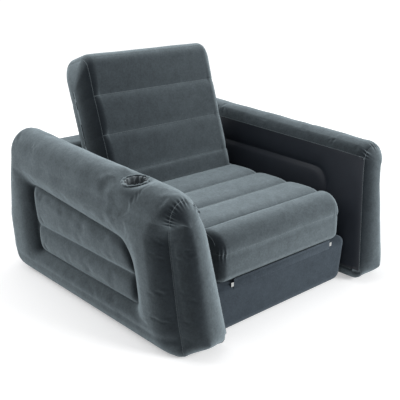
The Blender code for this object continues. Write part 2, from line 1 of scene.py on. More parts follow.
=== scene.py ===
# %% [markdown]
# An inflatable chair bed is a set of air chambers, each welded from thin vinyl film. A fine flocking
# on most of the film gives it the look of velvet. This lesson dresses the bare frame of the chair:
# it lays a smooth, puffed skin over each chamber, presses the welds and puckers into it, and gives
# each film its finish. The frame itself never moves, so every piece is placed in its metres.

# %% Frame
from math import cos, pi, radians, sin, tau

import bmesh
import bpy
import numpy as np
from mathutils import Matrix, Vector


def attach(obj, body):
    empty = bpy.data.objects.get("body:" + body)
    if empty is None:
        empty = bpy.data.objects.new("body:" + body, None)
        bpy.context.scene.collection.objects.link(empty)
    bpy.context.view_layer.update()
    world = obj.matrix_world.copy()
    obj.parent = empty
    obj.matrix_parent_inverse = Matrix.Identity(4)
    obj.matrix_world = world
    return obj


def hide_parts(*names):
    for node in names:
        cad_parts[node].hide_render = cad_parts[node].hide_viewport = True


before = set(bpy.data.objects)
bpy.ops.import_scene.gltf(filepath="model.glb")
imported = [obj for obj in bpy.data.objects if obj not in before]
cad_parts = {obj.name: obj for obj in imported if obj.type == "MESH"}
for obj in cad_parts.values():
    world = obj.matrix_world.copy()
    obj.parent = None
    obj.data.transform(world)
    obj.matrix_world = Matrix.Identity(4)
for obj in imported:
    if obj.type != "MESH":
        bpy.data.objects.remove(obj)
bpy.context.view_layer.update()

# %% [markdown]
# The camera stands in front of the chair and to its left, a little over the height of the backrest,
# and looks down on it. Its place was worked out from the long straight edges of the arms and the
# seat. A long lens keeps those edges nearly parallel.

# %% Camera
frame_pixels = 400
focal_pixels = 700.4
sensor_width = 36.0
camera_place = (-1.835, -2.0655, 1.266)
camera_yaw, camera_pitch = radians(-41.81), radians(19.26)

camera = bpy.data.objects.new("camera", bpy.data.cameras.new("camera"))
bpy.context.collection.objects.link(camera)
camera.location = camera_place
camera.rotation_euler = (pi / 2 - camera_pitch, 0, camera_yaw)
camera.data.sensor_width = sensor_width
camera.data.lens = sensor_width * focal_pixels / frame_pixels
camera.data.clip_start = 0.05
bpy.context.scene.camera = camera
bpy.context.scene.view_settings.view_transform = "Standard"
print("camera lens:", round(camera.data.lens, 1), "mm")

# %% [markdown]
# A material is a small graph of nodes. Writing it as plain sums keeps it readable, so a socket is
# wrapped in a class whose operators add Math nodes. Every other node comes from one method, which
# sets the node's own settings first and its sockets afterwards.

# %% Shader sums


class Wire:
    """A socket that can be added, taken away and multiplied like a number."""

    def __init__(self, paint, socket):
        self.paint = paint
        self.socket = socket

    def maths(self, operation, first, second):
        made = self.paint.node("ShaderNodeMath", {"operation": operation}, **{"0": first, "1": second})
        return made["Value"]

    def __add__(self, other):
        return self.maths("ADD", self, other)

    def __sub__(self, other):
        return self.maths("SUBTRACT", self, other)

    def __rsub__(self, other):
        return self.maths("SUBTRACT", other, self)

    def __mul__(self, other):
        return self.maths("MULTIPLY", self, other)

    __radd__ = __add__
    __rmul__ = __mul__


class Node:
    """A node whose outputs are read as wires, by name."""

    def __init__(self, paint, made):
        self.paint = paint
        self.made = made

    def __getitem__(self, name):
        return Wire(self.paint, self.made.outputs[name])


class Paint:
    """An empty node tree, ready to be filled: a new material's, or that of the world it is given."""

    def __init__(self, name, world=None):
        self.owner = world or bpy.data.materials.new(name)
        self.owner.use_nodes = True
        self.tree = self.owner.node_tree
        self.tree.nodes.clear()

    def node(self, kind, settings=None, **sockets):
        made = self.tree.nodes.new(kind)
        for setting, value in (settings or {}).items():
            setattr(made, setting, value)
        for name, value in sockets.items():
            socket = made.inputs[int(name)] if name.isdigit() else made.inputs[name.replace("_", " ")]
            if isinstance(value, Wire):
                self.tree.links.new(value.socket, socket)
            else:
                socket.default_value = value
        return Node(self, made)

    def finish(self, surface, output="ShaderNodeOutputMaterial"):
        self.node(output, Surface=surface)
        return self.owner

    def noise(self, place, size, detail=2.0, roughness=0.5):
        """Soft noise from 0 to 1 whose lumps are about size metres across."""
        made = self.node("ShaderNodeTexNoise", Vector=place, Scale=1 / size, Detail=detail,
                         Roughness=roughness)
        return made["Factor" if "Factor" in made.made.outputs else "Fac"]


print("wires can be added, taken away and multiplied")

# %% [markdown]
# Flocking is a pile of very short fibres, so it isn't glossy at all. Where one looks straight down
# into the pile, little light comes back. Where one looks across it, the tips of the fibres catch the
# light, so its edges look brighter than its middle. That sheen is painted into the colour here: a dark
# coat and a paler coat of painted sheen are mixed by how much the surface is turned away from the
# view. Hand marks leave soft blotches about as wide as a finger, and the pile has a grain of a few
# millimetres.

# %% Flocked film
grey_slate = (0.012, 0.016, 0.020)
# painted sheen: the pale colour mixed in where the film is seen at a grazing angle
painted_sheen_grey = (0.30, 0.362, 0.39)
blotch_size, pile_size, pile_height = 0.03, 0.008, 0.0006
pile_roughness = 0.95
sheen_blue = (0.8, 0.93, 1, 1)


def flocked_film(name, deep=grey_slate, painted_sheen_tone=painted_sheen_grey, blotch=0.5, grain=1.1, gather=1.35):
    paint = Paint(name)
    place = paint.node("ShaderNodeTexCoord")["Object"]
    blotches = paint.noise(place, blotch_size, detail=3.0, roughness=0.6)
    fibres = paint.noise(place, pile_size, detail=4.0, roughness=0.8)
    level = (blotches - 0.5) * blotch + (fibres - 0.5) * grain + 1.0
    bump = paint.node("ShaderNodeBump", Strength=0.35, Distance=pile_height, Height=fibres)
    coats = []
    for colour, sheen in ((deep, 0.25), (painted_sheen_tone, 0.0)):
        tone = paint.node("ShaderNodeVectorMath", {"operation": "SCALE"}, **{"0": colour}, Scale=level)
        coats.append(paint.node("ShaderNodeBsdfPrincipled", Base_Color=tone["Vector"],
                                Roughness=pile_roughness, Normal=bump["Normal"], Sheen_Weight=sheen,
                                Sheen_Roughness=0.4, Sheen_Tint=sheen_blue, Specular_IOR_Level=0.15)["BSDF"])
    # painted sheen: the paler coat's share grows as the surface turns away from the view
    turned_away = paint.node("ShaderNodeLayerWeight", Blend=0.5)["Facing"]
    share = paint.node("ShaderNodeMath", {"operation": "POWER"}, **{"0": turned_away, "1": gather})
    both = paint.node("ShaderNodeMixShader", **{"0": share["Value"], "1": coats[0], "2": coats[1]})
    return paint.finish(both["Shader"])


# %% [markdown]
# The sides that a sitter doesn't touch are bare vinyl film: the arms' inner sides and undersides and
# the hinge under the backrest. It is smooth and dark, with a soft satin shine, and it shows faint
# ripples where it was stretched. A picture of real film could be laid over it, but a low, wide bump
# from noise gives the same ripples at any size. The base has a thin, dark flocking, so it is the
# flocked film again with its painted sheen kept low. The welds are the same film too, painted paler
# as a painted highlight along each weld.

# %% Bare vinyl and hard plastic
vinyl_slate = (0.018, 0.022, 0.030)
ripple_size, speck_size, ripple_height = 0.045, 0.0012, 0.002


def bare_vinyl(name, colour, roughness=0.5, ripple=0.15):
    paint = Paint(name)
    place = paint.node("ShaderNodeTexCoord")["Object"]
    clouds = paint.noise(place, ripple_size, detail=2.0)
    speck = paint.noise(place, speck_size, detail=1.0)
    tone = paint.node("ShaderNodeVectorMath", {"operation": "SCALE"}, **{"0": colour},
                      Scale=clouds * 0.3 + speck * 0.2 + 0.75)
    bump = paint.node("ShaderNodeBump", Strength=ripple, Distance=ripple_height,
                      Height=clouds + speck * 0.08)
    shader = paint.node("ShaderNodeBsdfPrincipled", Base_Color=tone["Vector"],
                        Roughness=clouds * 0.14 + (roughness - 0.07), Normal=bump["Normal"],
                        Specular_IOR_Level=0.35)
    return paint.finish(shader["BSDF"])


film_flocked = flocked_film("flocked_film")
# painted highlight: the welds' film is paler than the flocked film, for the light that the welds catch
painted_highlight_seam_film = flocked_film("welded_seam_painted_highlight", (0.045, 0.055, 0.062), (0.32, 0.37, 0.39), grain=0.2)
film_vinyl = bare_vinyl("bare_vinyl", vinyl_slate)
film_base = flocked_film("base_film", (0.016, 0.022, 0.029), (0.11, 0.138, 0.165))
# the well's film is painted paler than the arm's, which paints light onto its pleats
painted_light_cup_film = flocked_film("cup_film", (0.11, 0.125, 0.135), (0.32, 0.36, 0.38))
film_web = bare_vinyl("web_vinyl", (0.3, 0.31, 0.32), roughness=0.45)
# painted glint: the hinge tabs are painted pale for the light that their edges catch
painted_glint_tab_film = bare_vinyl("pale_film", (0.42, 0.43, 0.42), roughness=0.5)
plastic_valve = bare_vinyl("valve_plastic", (0.06, 0.066, 0.072), roughness=0.42, ripple=0.03)
film_check = bare_vinyl("check_disc", (0.45, 0.46, 0.46), roughness=0.35)
print("materials:", len([m for m in bpy.data.materials if m.use_nodes]))

# %% [markdown]
# The chambers are drawn as grids. A grid is a row of closed loops with equally many points, from
# the middle of one end, over its weld, along the chamber and over the weld at the other end. Equal
# loops make clean four-sided faces, and the welds and the grooves each lie on a line of the grid. A
# scan-like mesh of loose triangles could hold the same form, but a seam couldn't be laid along it.
# Points crowd together where the shape turns, which the first helper works out.

# %% Spacing and curves


def graded(*stops):
    """Places from the first stop to the last. A stop is a place and the spacing wanted there."""
    places, steps = zip(*stops)
    fine = np.linspace(places[0], places[-1], 4000)
    density = 1 / np.interp(fine, places, steps)
    count = np.concatenate([[0], np.cumsum((density[1:] + density[:-1]) / 2 * np.diff(fine))])
    return np.interp(np.linspace(0, count[-1], int(round(count[-1])) + 1), count, fine)


def ease(value):
    """From 0 to 1 along an S-shaped curve."""
    value = np.clip(value, 0, 1)
    return value * value * (3 - 2 * value)


def smooth_least(a, b, reach):
    """The lesser of two distances, rounded where they are alike."""
    return -np.log(np.exp(-a / reach) + np.exp(-b / reach)) * reach


def wander(count, lumps, seed):
    """A smooth random line of count values, about -1 to 1, whose end meets its start."""
    random = np.random.default_rng(seed)
    at = np.linspace(0, tau, count, endpoint=False)
    line = np.zeros(count)
    for k in range(1, lumps + 1):
        line += random.normal() * np.cos(k * at) + random.normal() * np.sin(k * at)
    return line / max(abs(line).max(), 0.001)


print("places 10 to 20 mm apart on 0.1 m:", np.round(graded((0, 0.01), (0.1, 0.02)), 3))

# %% [markdown]
# A few more helpers read a grid: which way it faces at each point, and how far a point lies from
# the first loop or round its own loop. They let a weld, a pucker or the air pressure be given in
# real distances over the film. The last of them turns a grid into a mesh.

# %% Reading a grid


def grid_normals(grid):
    """The outward direction at each point of a grid whose loops close on themselves."""
    around = np.roll(grid, -1, axis=1) - np.roll(grid, 1, axis=1)
    along = np.gradient(grid, axis=0)
    across = np.cross(around, along)
    size = np.linalg.norm(across, axis=2, keepdims=True)
    across = across / np.maximum(size, 1e-12)
    agreement = (across * (grid - grid.mean(axis=(0, 1)))).sum()
    return across if agreement > 0 else -across


def distance_along(grid):
    """How far each loop lies along the grid from the first one, at each point."""
    steps = np.linalg.norm(np.diff(grid, axis=0), axis=2)
    return np.concatenate([np.zeros((1, grid.shape[1])), np.cumsum(steps, axis=0)])


def distance_around(loop):
    """How far each point lies round a closed loop from its first one."""
    steps = np.linalg.norm(np.roll(loop, -1, axis=0) - loop, axis=1)
    return np.concatenate([[0], np.cumsum(steps)[:-1]])


def grid_faces(rows, columns):
    return [(r * columns + k, r * columns + (k + 1) % columns,
             (r + 1) * columns + (k + 1) % columns, (r + 1) * columns + k)
            for r in range(rows - 1) for k in range(columns)]


def mesh_of_grid(name, grid, marks=None):
    """A closed mesh over a grid, with a flat cap at each end. Its points keep the grid's order."""
    rows, columns, _ = grid.shape
    caps = [tuple(range(columns))[::-1], tuple(range((rows - 1) * columns, rows * columns))]
    mesh = bpy.data.meshes.new(name)
    mesh.from_pydata(grid.reshape(-1, 3).tolist(), [], grid_faces(rows, columns) + caps)
    if marks is not None:
        values = np.concatenate([np.asarray(marks, np.int32).ravel(), [0, 0]]).astype(np.int32)
        mesh.polygons.foreach_set("material_index", values)
    bm = bmesh.new()
    bm.from_mesh(mesh)
    bm.faces.ensure_lookup_table()
    bmesh.ops.triangulate(bm, faces=bm.faces[-2:], ngon_method="BEAUTY")
    bmesh.ops.recalc_face_normals(bm, faces=bm.faces)
    if bm.calc_volume(signed=True) < 0:
        bmesh.ops.reverse_faces(bm, faces=bm.faces)
    bm.to_mesh(mesh)
    bm.free()
    return mesh


def ring_mesh(name, grid):
    """A closed mesh over a grid whose last loop is joined to its first."""
    grid = np.concatenate([grid, grid[:1]])
    mesh = bpy.data.meshes.new(name)
    mesh.from_pydata(grid.reshape(-1, 3).tolist(), [], grid_faces(*grid.shape[:2]))
    bm = bmesh.new()
    bm.from_mesh(mesh)
    bmesh.ops.remove_doubles(bm, verts=bm.verts, dist=1e-7)
    bmesh.ops.recalc_face_normals(bm, faces=bm.faces)
    bm.to_mesh(mesh)
    bm.free()
    return mesh


def place_mesh(name, mesh, *materials):
    for used in materials:
        mesh.materials.append(used)
    mesh.shade_smooth()
    obj = bpy.data.objects.new(name, mesh)
    bpy.context.collection.objects.link(obj)
    return obj


print("a grid of 3 loops of 4 points has", len(grid_faces(3, 4)), "faces between its loops")

# %% [markdown]
# Air pressure is what shapes the real thing, so each chamber is also blown up once as cloth. The
# welds, rims and grooves are pinned, the film between them gets a little extra length, and the
# pressure rounds it off. How far a point may move is capped, so that a chamber can't swell into
# its neighbour. The result is read back into the grid, because the puckers come afterwards.

# %% Cloth
air_pressure = 4.0
cloth_frames = 20
film_slack = -0.004


def blown_up(name, grid, give, most):
    """The grid after the air is in. give says, from 0 to 1, how freely each point may move."""
    blank = place_mesh(name + "_blank", mesh_of_grid(name + "_blank", grid))
    held = blank.vertex_groups.new(name="held")
    for i, free in enumerate(give.ravel()):
        if free < 0.95:
            held.add([i], float(1 - free), "REPLACE")
    cloth = blank.modifiers.new("air", "CLOTH")
    cloth.settings.quality = 4
    cloth.settings.mass = 0.3
    cloth.settings.tension_stiffness = 12
    cloth.settings.compression_stiffness = 12
    cloth.settings.shear_stiffness = 5
    cloth.settings.bending_stiffness = 2.0
    cloth.settings.air_damping = 3
    cloth.settings.use_pressure = True
    cloth.settings.uniform_pressure_force = air_pressure
    cloth.settings.vertex_group_mass = "held"
    cloth.settings.shrink_min = film_slack
    cloth.settings.effector_weights.gravity = 0
    cloth.collision_settings.use_collision = False
    cloth.point_cache.frame_start = 1
    cloth.point_cache.frame_end = cloth_frames
    for step in range(1, cloth_frames + 1):
        bpy.context.scene.frame_set(step)
    evaluated = blank.evaluated_get(bpy.context.evaluated_depsgraph_get())
    blown = np.empty(grid.size)
    evaluated.data.vertices.foreach_get("co", blown)
    bpy.data.objects.remove(blank, do_unlink=True)
    bpy.context.scene.frame_set(1)
    moved = (blown.reshape(grid.shape) - grid) * give[:, :, None]
    far = np.linalg.norm(moved, axis=2, keepdims=True)
    moved *= np.minimum(1, most / np.maximum(far, 1e-9))
    print(name, "blown up:", grid.shape[0] * grid.shape[1], "points, moved by up to",
          round(float(np.minimum(far, most).max()) * 1000, 1), "mm")
    return grid + moved


print("air pressure:", air_pressure, "over", cloth_frames, "frames")

# %% [markdown]
# A chamber's section is an outline with rounded corners. Some corners are sharp, where a weld or a
# groove runs along them. The outline can be drawn in, which the rounded ends need, and each of its
# sides can be lifted or sunk point by point, which gives the ribs and the recesses.

# %% Outlines


class Corner:
    """A corner of a section. points is 1 where it is sharp. sink is how far it is pulled down."""

    def __init__(self, u, v, radius, points, sink=0.0):
        self.at = Vector((u, v))
        self.radius = radius
        self.points = points
        self.sink = sink


def outward(a, b):
    """The direction out of a section, square to the side from corner a to corner b."""
    along = (b.at - a.at).normalized()
    return Vector((along.y, -along.x))


least_radius = 0.004


def outline(corners, sides, inset, lift):
    """Points (u, v, hollow) run anticlockwise. sides holds the distances of each side's points."""
    points = []
    for i, corner in enumerate(corners):
        following = corners[(i + 1) % len(corners)]
        before, after = outward(corners[i - 1], corner), outward(corner, following)
        if corner.points == 1:
            at = corner.at - (before + after) * (inset / (1 + before.dot(after)))
            points.append((at.x, at.y - corner.sink, corner.sink))
        else:
            radius = max(corner.radius - inset, least_radius)
            centre = corner.at - (before + after) * ((inset + radius) / (1 + before.dot(after)))
            for k in range(corner.points):
                turn = before.slerp(after, k / (corner.points - 1)).normalized()
                at = centre + radius * turn
                points.append((at.x, at.y, 0.0))
        along = (following.at - corner.at).normalized()
        length = (following.at - corner.at).length
        for distance in sides[i]:
            raised = lift(i, distance)
            near_start = max(distance, inset + distance / 2) if corner.points == 1 else distance
            left = length - near_start
            left = max(left, inset + left / 2) if following.points == 1 else left
            at = corner.at + along * (length - left) + after * (raised - inset)
            points.append((at.x, at.y, max(-raised, 0.0)))
    return points


square = [Corner(0, 0, 0.1, 2), Corner(1, 0, 0.1, 2), Corner(1, 1, 0.1, 2), Corner(0, 1, 0.1, 2)]
print("a square with cut corners has", len(outline(square, [[]] * 4, 0, None)), "points")

# %% [markdown]
# The seat, the backrest, the base and the rear wall are one kind of cushion: a section that is
# pulled out sideways, rolled in at both ends, and closed by an end panel. Ribs lie between welded
# grooves. Their crown is flat and falls off steeply into the groove, as air pressure makes it. A
# subdivided box would be quicker to draw, but its grooves would fade out and its ends go shapeless.

# %% Ribs
groove_spacing, rib_spacing = 0.0035, 0.011
groove_reach = 0.03
corner_clear, groove_clear = 0.004, 0.003


class Ribs:
    """The ribs of one side, with a groove at each valley. flat is the level share of a crown."""

    def __init__(self, start, end, valleys, depth, power=3.6, flat=0.0):
        edges = [2 * start - valleys[0], *valleys, 2 * end - valleys[-1]]
        self.spans = [(a, b) for a, b in zip(edges, edges[1:]) if b - a > 0.002]
        self.valleys = list(valleys)
        self.depth, self.power, self.flat = depth, power, flat

    def sink(self, at):
        for a, b in self.spans:
            if a <= at <= b:
                from_crest = abs(2 * (at - a) / (b - a) - 1)
                return self.depth * (max(from_crest - self.flat, 0) / (1 - self.flat)) ** self.power
        return 0.0


def cushion_sides(corners, ribs):
    """Distances of the points along each side, with one exactly in each groove."""
    sides = []
    for i, corner in enumerate(corners):
        following = corners[(i + 1) % len(corners)]
        along = following.at - corner.at
        length = along.length
        start = corner.radius + corner_clear
        end = length - following.radius - corner_clear
        rib = ribs[i]
        if rib is None:
            sides.append(list(graded((start, rib_spacing), (end, rib_spacing))))
            continue
        axis = 1 if i % 2 else 0
        origin, sign = corner.at[axis], (1 if along[axis] > 0 else -1)
        valleys = sorted(sign * (v - origin) for v in rib.valleys)
        valleys = [v for v in valleys if start + groove_clear < v < end - groove_clear]
        knots = [start, *valleys, end]
        places = []
        for a, b in zip(knots, knots[1:]):
            near_a = groove_spacing if a in valleys or corner.points == 1 else rib_spacing
            near_b = groove_spacing if b in valleys or following.points == 1 else rib_spacing
            reach = min(groove_reach, (b - a) / 3)
            run = graded((a, near_a), (a + reach, rib_spacing), (b - reach, rib_spacing), (b, near_b))
            places += list(run[:-1] if b != end else run)
        sides.append(places)
    return sides


print("a 10 mm deep rib is sunk by", round(Ribs(0, 0.2, [0, 0.2], 0.01).sink(0.02), 4), "m near its groove")

# %% [markdown]
# The cushion itself is made by walking from one weld to the other. At each station the section is
# drawn in by the end's rounding, and the grooves are pulled inward there, which gives the scalloped
# weld that one sees at the ends of an air bed's ribs. The end panels are rings that shrink towards
# a middle line, so that their faces stay four-sided.

# %% Cushions
end_seam_angle = radians(40)
end_rounding = 0.045
end_rows = 11
scallop_share = 0.2


class Cushion:
    """half_width is measured to the middle of an end panel. crown is how far that panel bulges.
    end_fade is how much shallower the grooves are at the welds than in the middle."""

    def __init__(self, half_width, corners, ribs, flare, crown, end_fade=0.0):
        self.half_width, self.corners, self.ribs = half_width, corners, ribs
        self.flare, self.crown, self.end_fade = flare, crown, end_fade
        self.depth_here = 1.0
        self.sides = cushion_sides(corners, ribs)

    def lift(self, side, distance):
        ribs = self.ribs[side]
        if ribs is None:
            return 0.0
        corner, following = self.corners[side], self.corners[(side + 1) % len(self.corners)]
        axis = 1 if side % 2 else 0
        sign = 1 if following.at[axis] > corner.at[axis] else -1
        return -ribs.sink(corner.at[axis] + sign * distance) * self.depth_here

    def loop(self, side, x, inset, scallop):
        self.depth_here = 1 - self.end_fade * scallop
        points = outline(self.corners, self.sides, inset, self.lift)
        return np.array([(side * (x + self.flare * v - scallop_share * hollow * scallop), u, v)
                         for u, v, hollow in points])

    def stations(self):
        """(x, inset, scallop) from the weld at one end to the middle of the cushion. Rows are
        close together near the end's rounding, and 28 mm apart in the middle."""
        seam_x = self.half_width - self.crown
        places = []
        for angle in np.linspace(end_seam_angle, 0, end_rows):
            x = seam_x - end_rounding * (sin(end_seam_angle) - sin(angle))
            places.append((x, end_rounding * (1 - cos(angle)), sin(angle) / sin(end_seam_angle)))
        inner = places[-1][0]
        for x in graded((0, 0.028), (inner - 0.09, 0.022), (inner, 0.005))[::-1][1:]:
            places.append((x, 0.0, 0.0))
        return places

    def panel(self, side, rim, rings=13):
        """Loops from just inside the weld to the panel's middle line. The panel rises steeply at
        its weld and flattens towards the middle."""
        low, high = rim[:, 1:].min(axis=0), rim[:, 1:].max(axis=0)
        half = (high - low).min() / 2
        core = rim.copy()
        core[:, 1] = np.clip(rim[:, 1], low[0] + half, high[0] - half)
        core[:, 2] = np.clip(rim[:, 2], low[1] + half, high[1] - half)
        core[:, 0] = side * (self.half_width + self.flare * core[:, 2])
        loops = []
        for t in np.linspace(0, 1, rings + 1)[1:] ** 1.15:
            bulge = 1 - (1 - t) ** 2.3
            ring = rim + (core - rim) * t
            ring[:, 0] = rim[:, 0] + (core[:, 0] - rim[:, 0]) * bulge
            loops.append(ring)
        return loops

    def grid(self):
        """The loops, the row of each weld, and the rows between them."""
        places = self.stations()
        left = [self.loop(-1, *place) for place in places]
        right = [self.loop(1, *place) for place in places]
        left_cap, right_cap = self.panel(-1, left[0]), self.panel(1, right[0])
        loops = left_cap[::-1] + left + right[::-1][1:] + right_cap
        first = len(left_cap)
        last = len(loops) - 1 - len(right_cap)
        return np.array(loops), first, last


print("an end's rounding draws a section in by", round(end_rounding * (1 - cos(end_seam_angle)), 4), "m")

# %% [markdown]
# Where two films are welded, the seam pulls the film in and gathers it into short wrinkles. A bump
# in the material could fake them, but they show in the outline too, so they are moved points. A
# weld's own edge is a thin tube along the same row of points.

# %% Puckers and beads


def puckered(grid, row, height, length, fade, where=None, seed=1):
    """Short wrinkles across the weld at one row of a grid."""
    normals = grid_normals(grid)
    away = distance_along(grid)
    away = abs(away - away[row])
    s = distance_around(grid[row])
    columns = grid.shape[1]
    drift = wander(columns, 9, seed) * 1.2
    strength = 0.65 + 0.35 * wander(columns, 14, seed + 1)
    wave = np.sin(tau * s / length + drift) * strength
    here = np.ones(columns) if where is None else where
    ridge = np.exp(-(away / fade) ** 1.5) * (wave * here)[None, :]
    return grid + normals * (ridge * height)[:, :, None]


def welded(grid, row, depth=0.0016, reach=0.004):
    """Draws the film in along the weld at one row."""
    away = distance_along(grid)
    away = abs(away - away[row])
    return grid - grid_normals(grid) * (depth * np.exp(-away / reach))[:, :, None]


def bead(name, loop, radius, material, closed=True):
    """The raised line of a weld, as a thin tube along a row of points."""
    curve = bpy.data.curves.new(name, "CURVE")
    curve.dimensions = "3D"
    curve.bevel_depth = radius
    curve.bevel_resolution = 1
    curve.use_fill_caps = not closed
    line = curve.splines.new("POLY")
    line.points.add(len(loop) - 1)
    line.use_cyclic_u = closed
    for point, at in zip(line.points, loop):
        point.co = (*at, 1)
    drawn = bpy.data.objects.new(name, curve)
    bpy.context.collection.objects.link(drawn)
    mesh = bpy.data.meshes.new_from_object(drawn.evaluated_get(bpy.context.evaluated_depsgraph_get()))
    bpy.data.objects.remove(drawn, do_unlink=True)
    mesh.name = name
    mesh.materials.clear()
    mesh.materials.append(material)
    mesh.shade_smooth()
    obj = bpy.data.objects.new(name, mesh)
    bpy.context.collection.objects.link(obj)
    return obj


seam_radius = 0.0011
print("weld edges are", seam_radius * 2000, "mm thick")

# %% [markdown]
# Every piece is handed to the frame in the same way: it rides on a body and stands for the nodes
# whose place it takes, which are hidden.

# %% Handing over


def hand_over(piece, body, slot, *nodes, fill=None):
    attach(piece, body)
    if nodes:
        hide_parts(*nodes)
    return piece


air_fill = 0.95
print("a chamber's fill, from slack to tight:", air_fill)

# %% [markdown]
# The cushions come first, because their sizes are simple. The base and the rear wall stand between
# the arms, so their ends lean outward with the arms' inner sides. The seat lies on the base. The
# backrest leans back on the rear wall's rounded top edge, and it is drawn lying down and turned up
# about its hinge. Parts that rest on a neighbour are held still while the air goes in.

# %% Places
overall_depth = 1.115
front, rear = -overall_depth / 2, overall_depth / 2
layer = 0.187
seat_half, back_half = 0.36, 0.355
base_rear, wall_front, wall_back, wall_height = 0.3616, 0.3619, 0.5445, 0.53
hinge_y, hinge_z = -0.49, 0.187
back_hinge_y, back_hinge_z = 0.1425, 0.354
lean = radians(18)
seat_length, backrest_length = 0.6325, 0.575
arm_foot_half = 0.36
arm_flare = 0.135
film_gap = 0.001
chamber_gap = 0.0003
seat_turn = Matrix.Translation((0, hinge_y, hinge_z))
back_turn = Matrix.Translation((0, back_hinge_y, back_hinge_z)) @ Matrix.Rotation(pi / 2 - lean, 4, "X")


def turned_grid(grid, matrix):
    m = np.array(matrix)
    return grid @ m[:3, :3].T + m[:3, 3]


def box_corners(low_u, high_u, low_v, high_v, radii, counts, sinks=(0, 0, 0, 0)):
    places = ((low_u, low_v), (high_u, low_v), (high_u, high_v), (low_u, high_v))
    return [Corner(u, v, r, n, s) for (u, v), r, n, s in zip(places, radii, counts, sinks)]


corner_round = 0.07


def corner_drop(grid, half_width):
    """How far a cushion is drawn back towards its ends, which rounds its corners seen from above."""
    beyond = np.clip(abs(grid[:, :, 0]) - (half_width - corner_round), 0, corner_round * 0.999)
    return corner_round - np.sqrt(corner_round ** 2 - beyond ** 2)


print("seat hinge at", (hinge_y, hinge_z), "and back hinge at", (back_hinge_y, back_hinge_z))

# %% [markdown]
# The seat has four ribs on top. The front one is the widest, and it rolls down over the nose into a
# front face with a weld across it. The ends of the nose are rounded seen from above as well, which a
# section pulled straight out can't give, so its points are drawn back towards the ends afterwards.

# %% Seat
start, end = film_gap, seat_length - film_gap
seat_groove_shares = (0.177, 0.446, 0.723)
valleys = [seat_length * share for share in seat_groove_shares]
nose, seat_edge, groove = 0.07, 0.03, 0.013
nose_weld = layer - nose - 0.006
seat = Cushion(
    seat_half,
    box_corners(start, end, 0.0002, layer, (seat_edge, seat_edge, 0, nose), (7, 7, 1, 14),
                (0, 0, groove, 0)),
    (Ribs(start + seat_edge, end - seat_edge, valleys, 0.008, flat=0.4), None,
     Ribs(start + nose, end, valleys + [end], groove),
     Ribs(seat_edge, layer - nose, [nose_weld], 0.006, power=6)),
    0.0, 0.03, end_fade=0.2)
seat_grid, seat_first, seat_last = seat.grid()
nose_drop, nose_reach, nose_fade = 0.05, 0.2, 0.18
drop = np.minimum(corner_drop(seat_grid, seat_half), nose_drop)
seat_grid[:, :, 1] += drop * ease((nose_reach - seat_grid[:, :, 1]) / nose_fade)
print("seat grid:", seat_grid.shape)

# %% [markdown]
# The backrest is drawn lying down, with its front upward, and is turned up later about its hinge.
# Its grooves are deep in the middle and shallow at the welds, and its top corners are rounded in the
# same way as the seat's nose.

# %% Backrest
start, end = film_gap, backrest_length
back_groove_shares = (0.148, 0.426, 0.704)
valleys = [backrest_length * share for share in back_groove_shares]
top_round = 0.05
back_front = 0.02
back = Cushion(
    back_half,
    box_corners(start, end, back_front - layer, back_front, (seat_edge, top_round, top_round, 0),
                (7, 10, 10, 1), (0, 0, 0, groove)),
    (Ribs(start + seat_edge, end - top_round, valleys, 0.012, flat=0.4), None,
     Ribs(start, end - top_round, [start] + valleys, groove), None),
    0.0, 0.038, end_fade=0.7)
back_grid, back_first, back_last = back.grid()
top_drop, top_reach, top_fade = 0.055, 0.33, 0.22
drop = np.minimum(corner_drop(back_grid, back_half), top_drop)
back_grid[:, :, 1] -= drop * ease((back_grid[:, :, 1] - top_reach) / top_fade)
print("backrest grid:", back_grid.shape)

# %% [markdown]
# The base and the rear wall are wedged between the arms. Their ends lean outward as the arms' inner
# sides do, and they are nearly flat, because the arms press on them. Only the base's top has ribs,
# and the rear wall has one groove across its back.

# %% Base
start, end = hinge_y + film_gap, base_rear
base_round = 0.03
base_groove_shares = (0.2, 0.4, 0.6, 0.8)
valleys = [start + (end - start) * share for share in base_groove_shares]
base_groove, pressed_crown = 0.012, 0.012
base = Cushion(
    arm_foot_half - chamber_gap,
    box_corners(start, end, 0, layer - 0.0002, (base_round,) * 4, (6, 6, 7, 7)),
    (None, None, Ribs(start + base_round, end - base_round, valleys, base_groove, flat=0.4), None),
    arm_flare, pressed_crown)
base_grid, base_first, base_last = base.grid()
print("base grid:", base_grid.shape)

# %% Rear wall
wall = Cushion(
    arm_foot_half - chamber_gap,
    box_corners(wall_front, wall_back, 0, wall_height,
                (base_round, base_round, top_round, top_round), (6, 6, 10, 10)),
    (None, Ribs(base_round, wall_height - top_round, [wall_height / 2], base_groove, flat=0.4),
     None, None),
    arm_flare, pressed_crown)
wall_grid, wall_first, wall_last = wall.grid()
print("rear wall grid:", wall_grid.shape)

# %% [markdown]
# An arm is a tall chamber with a sloping inner side. A puffed ring runs round its outer side and
# rolls into a recess, whose floor is held back by a web and shows two soft lobes with a crease
# between them. The recess is drawn with a distance: how far a point lies inside the rim. All the
# heights of the ring, the steep wall and the lobes follow from that one number.

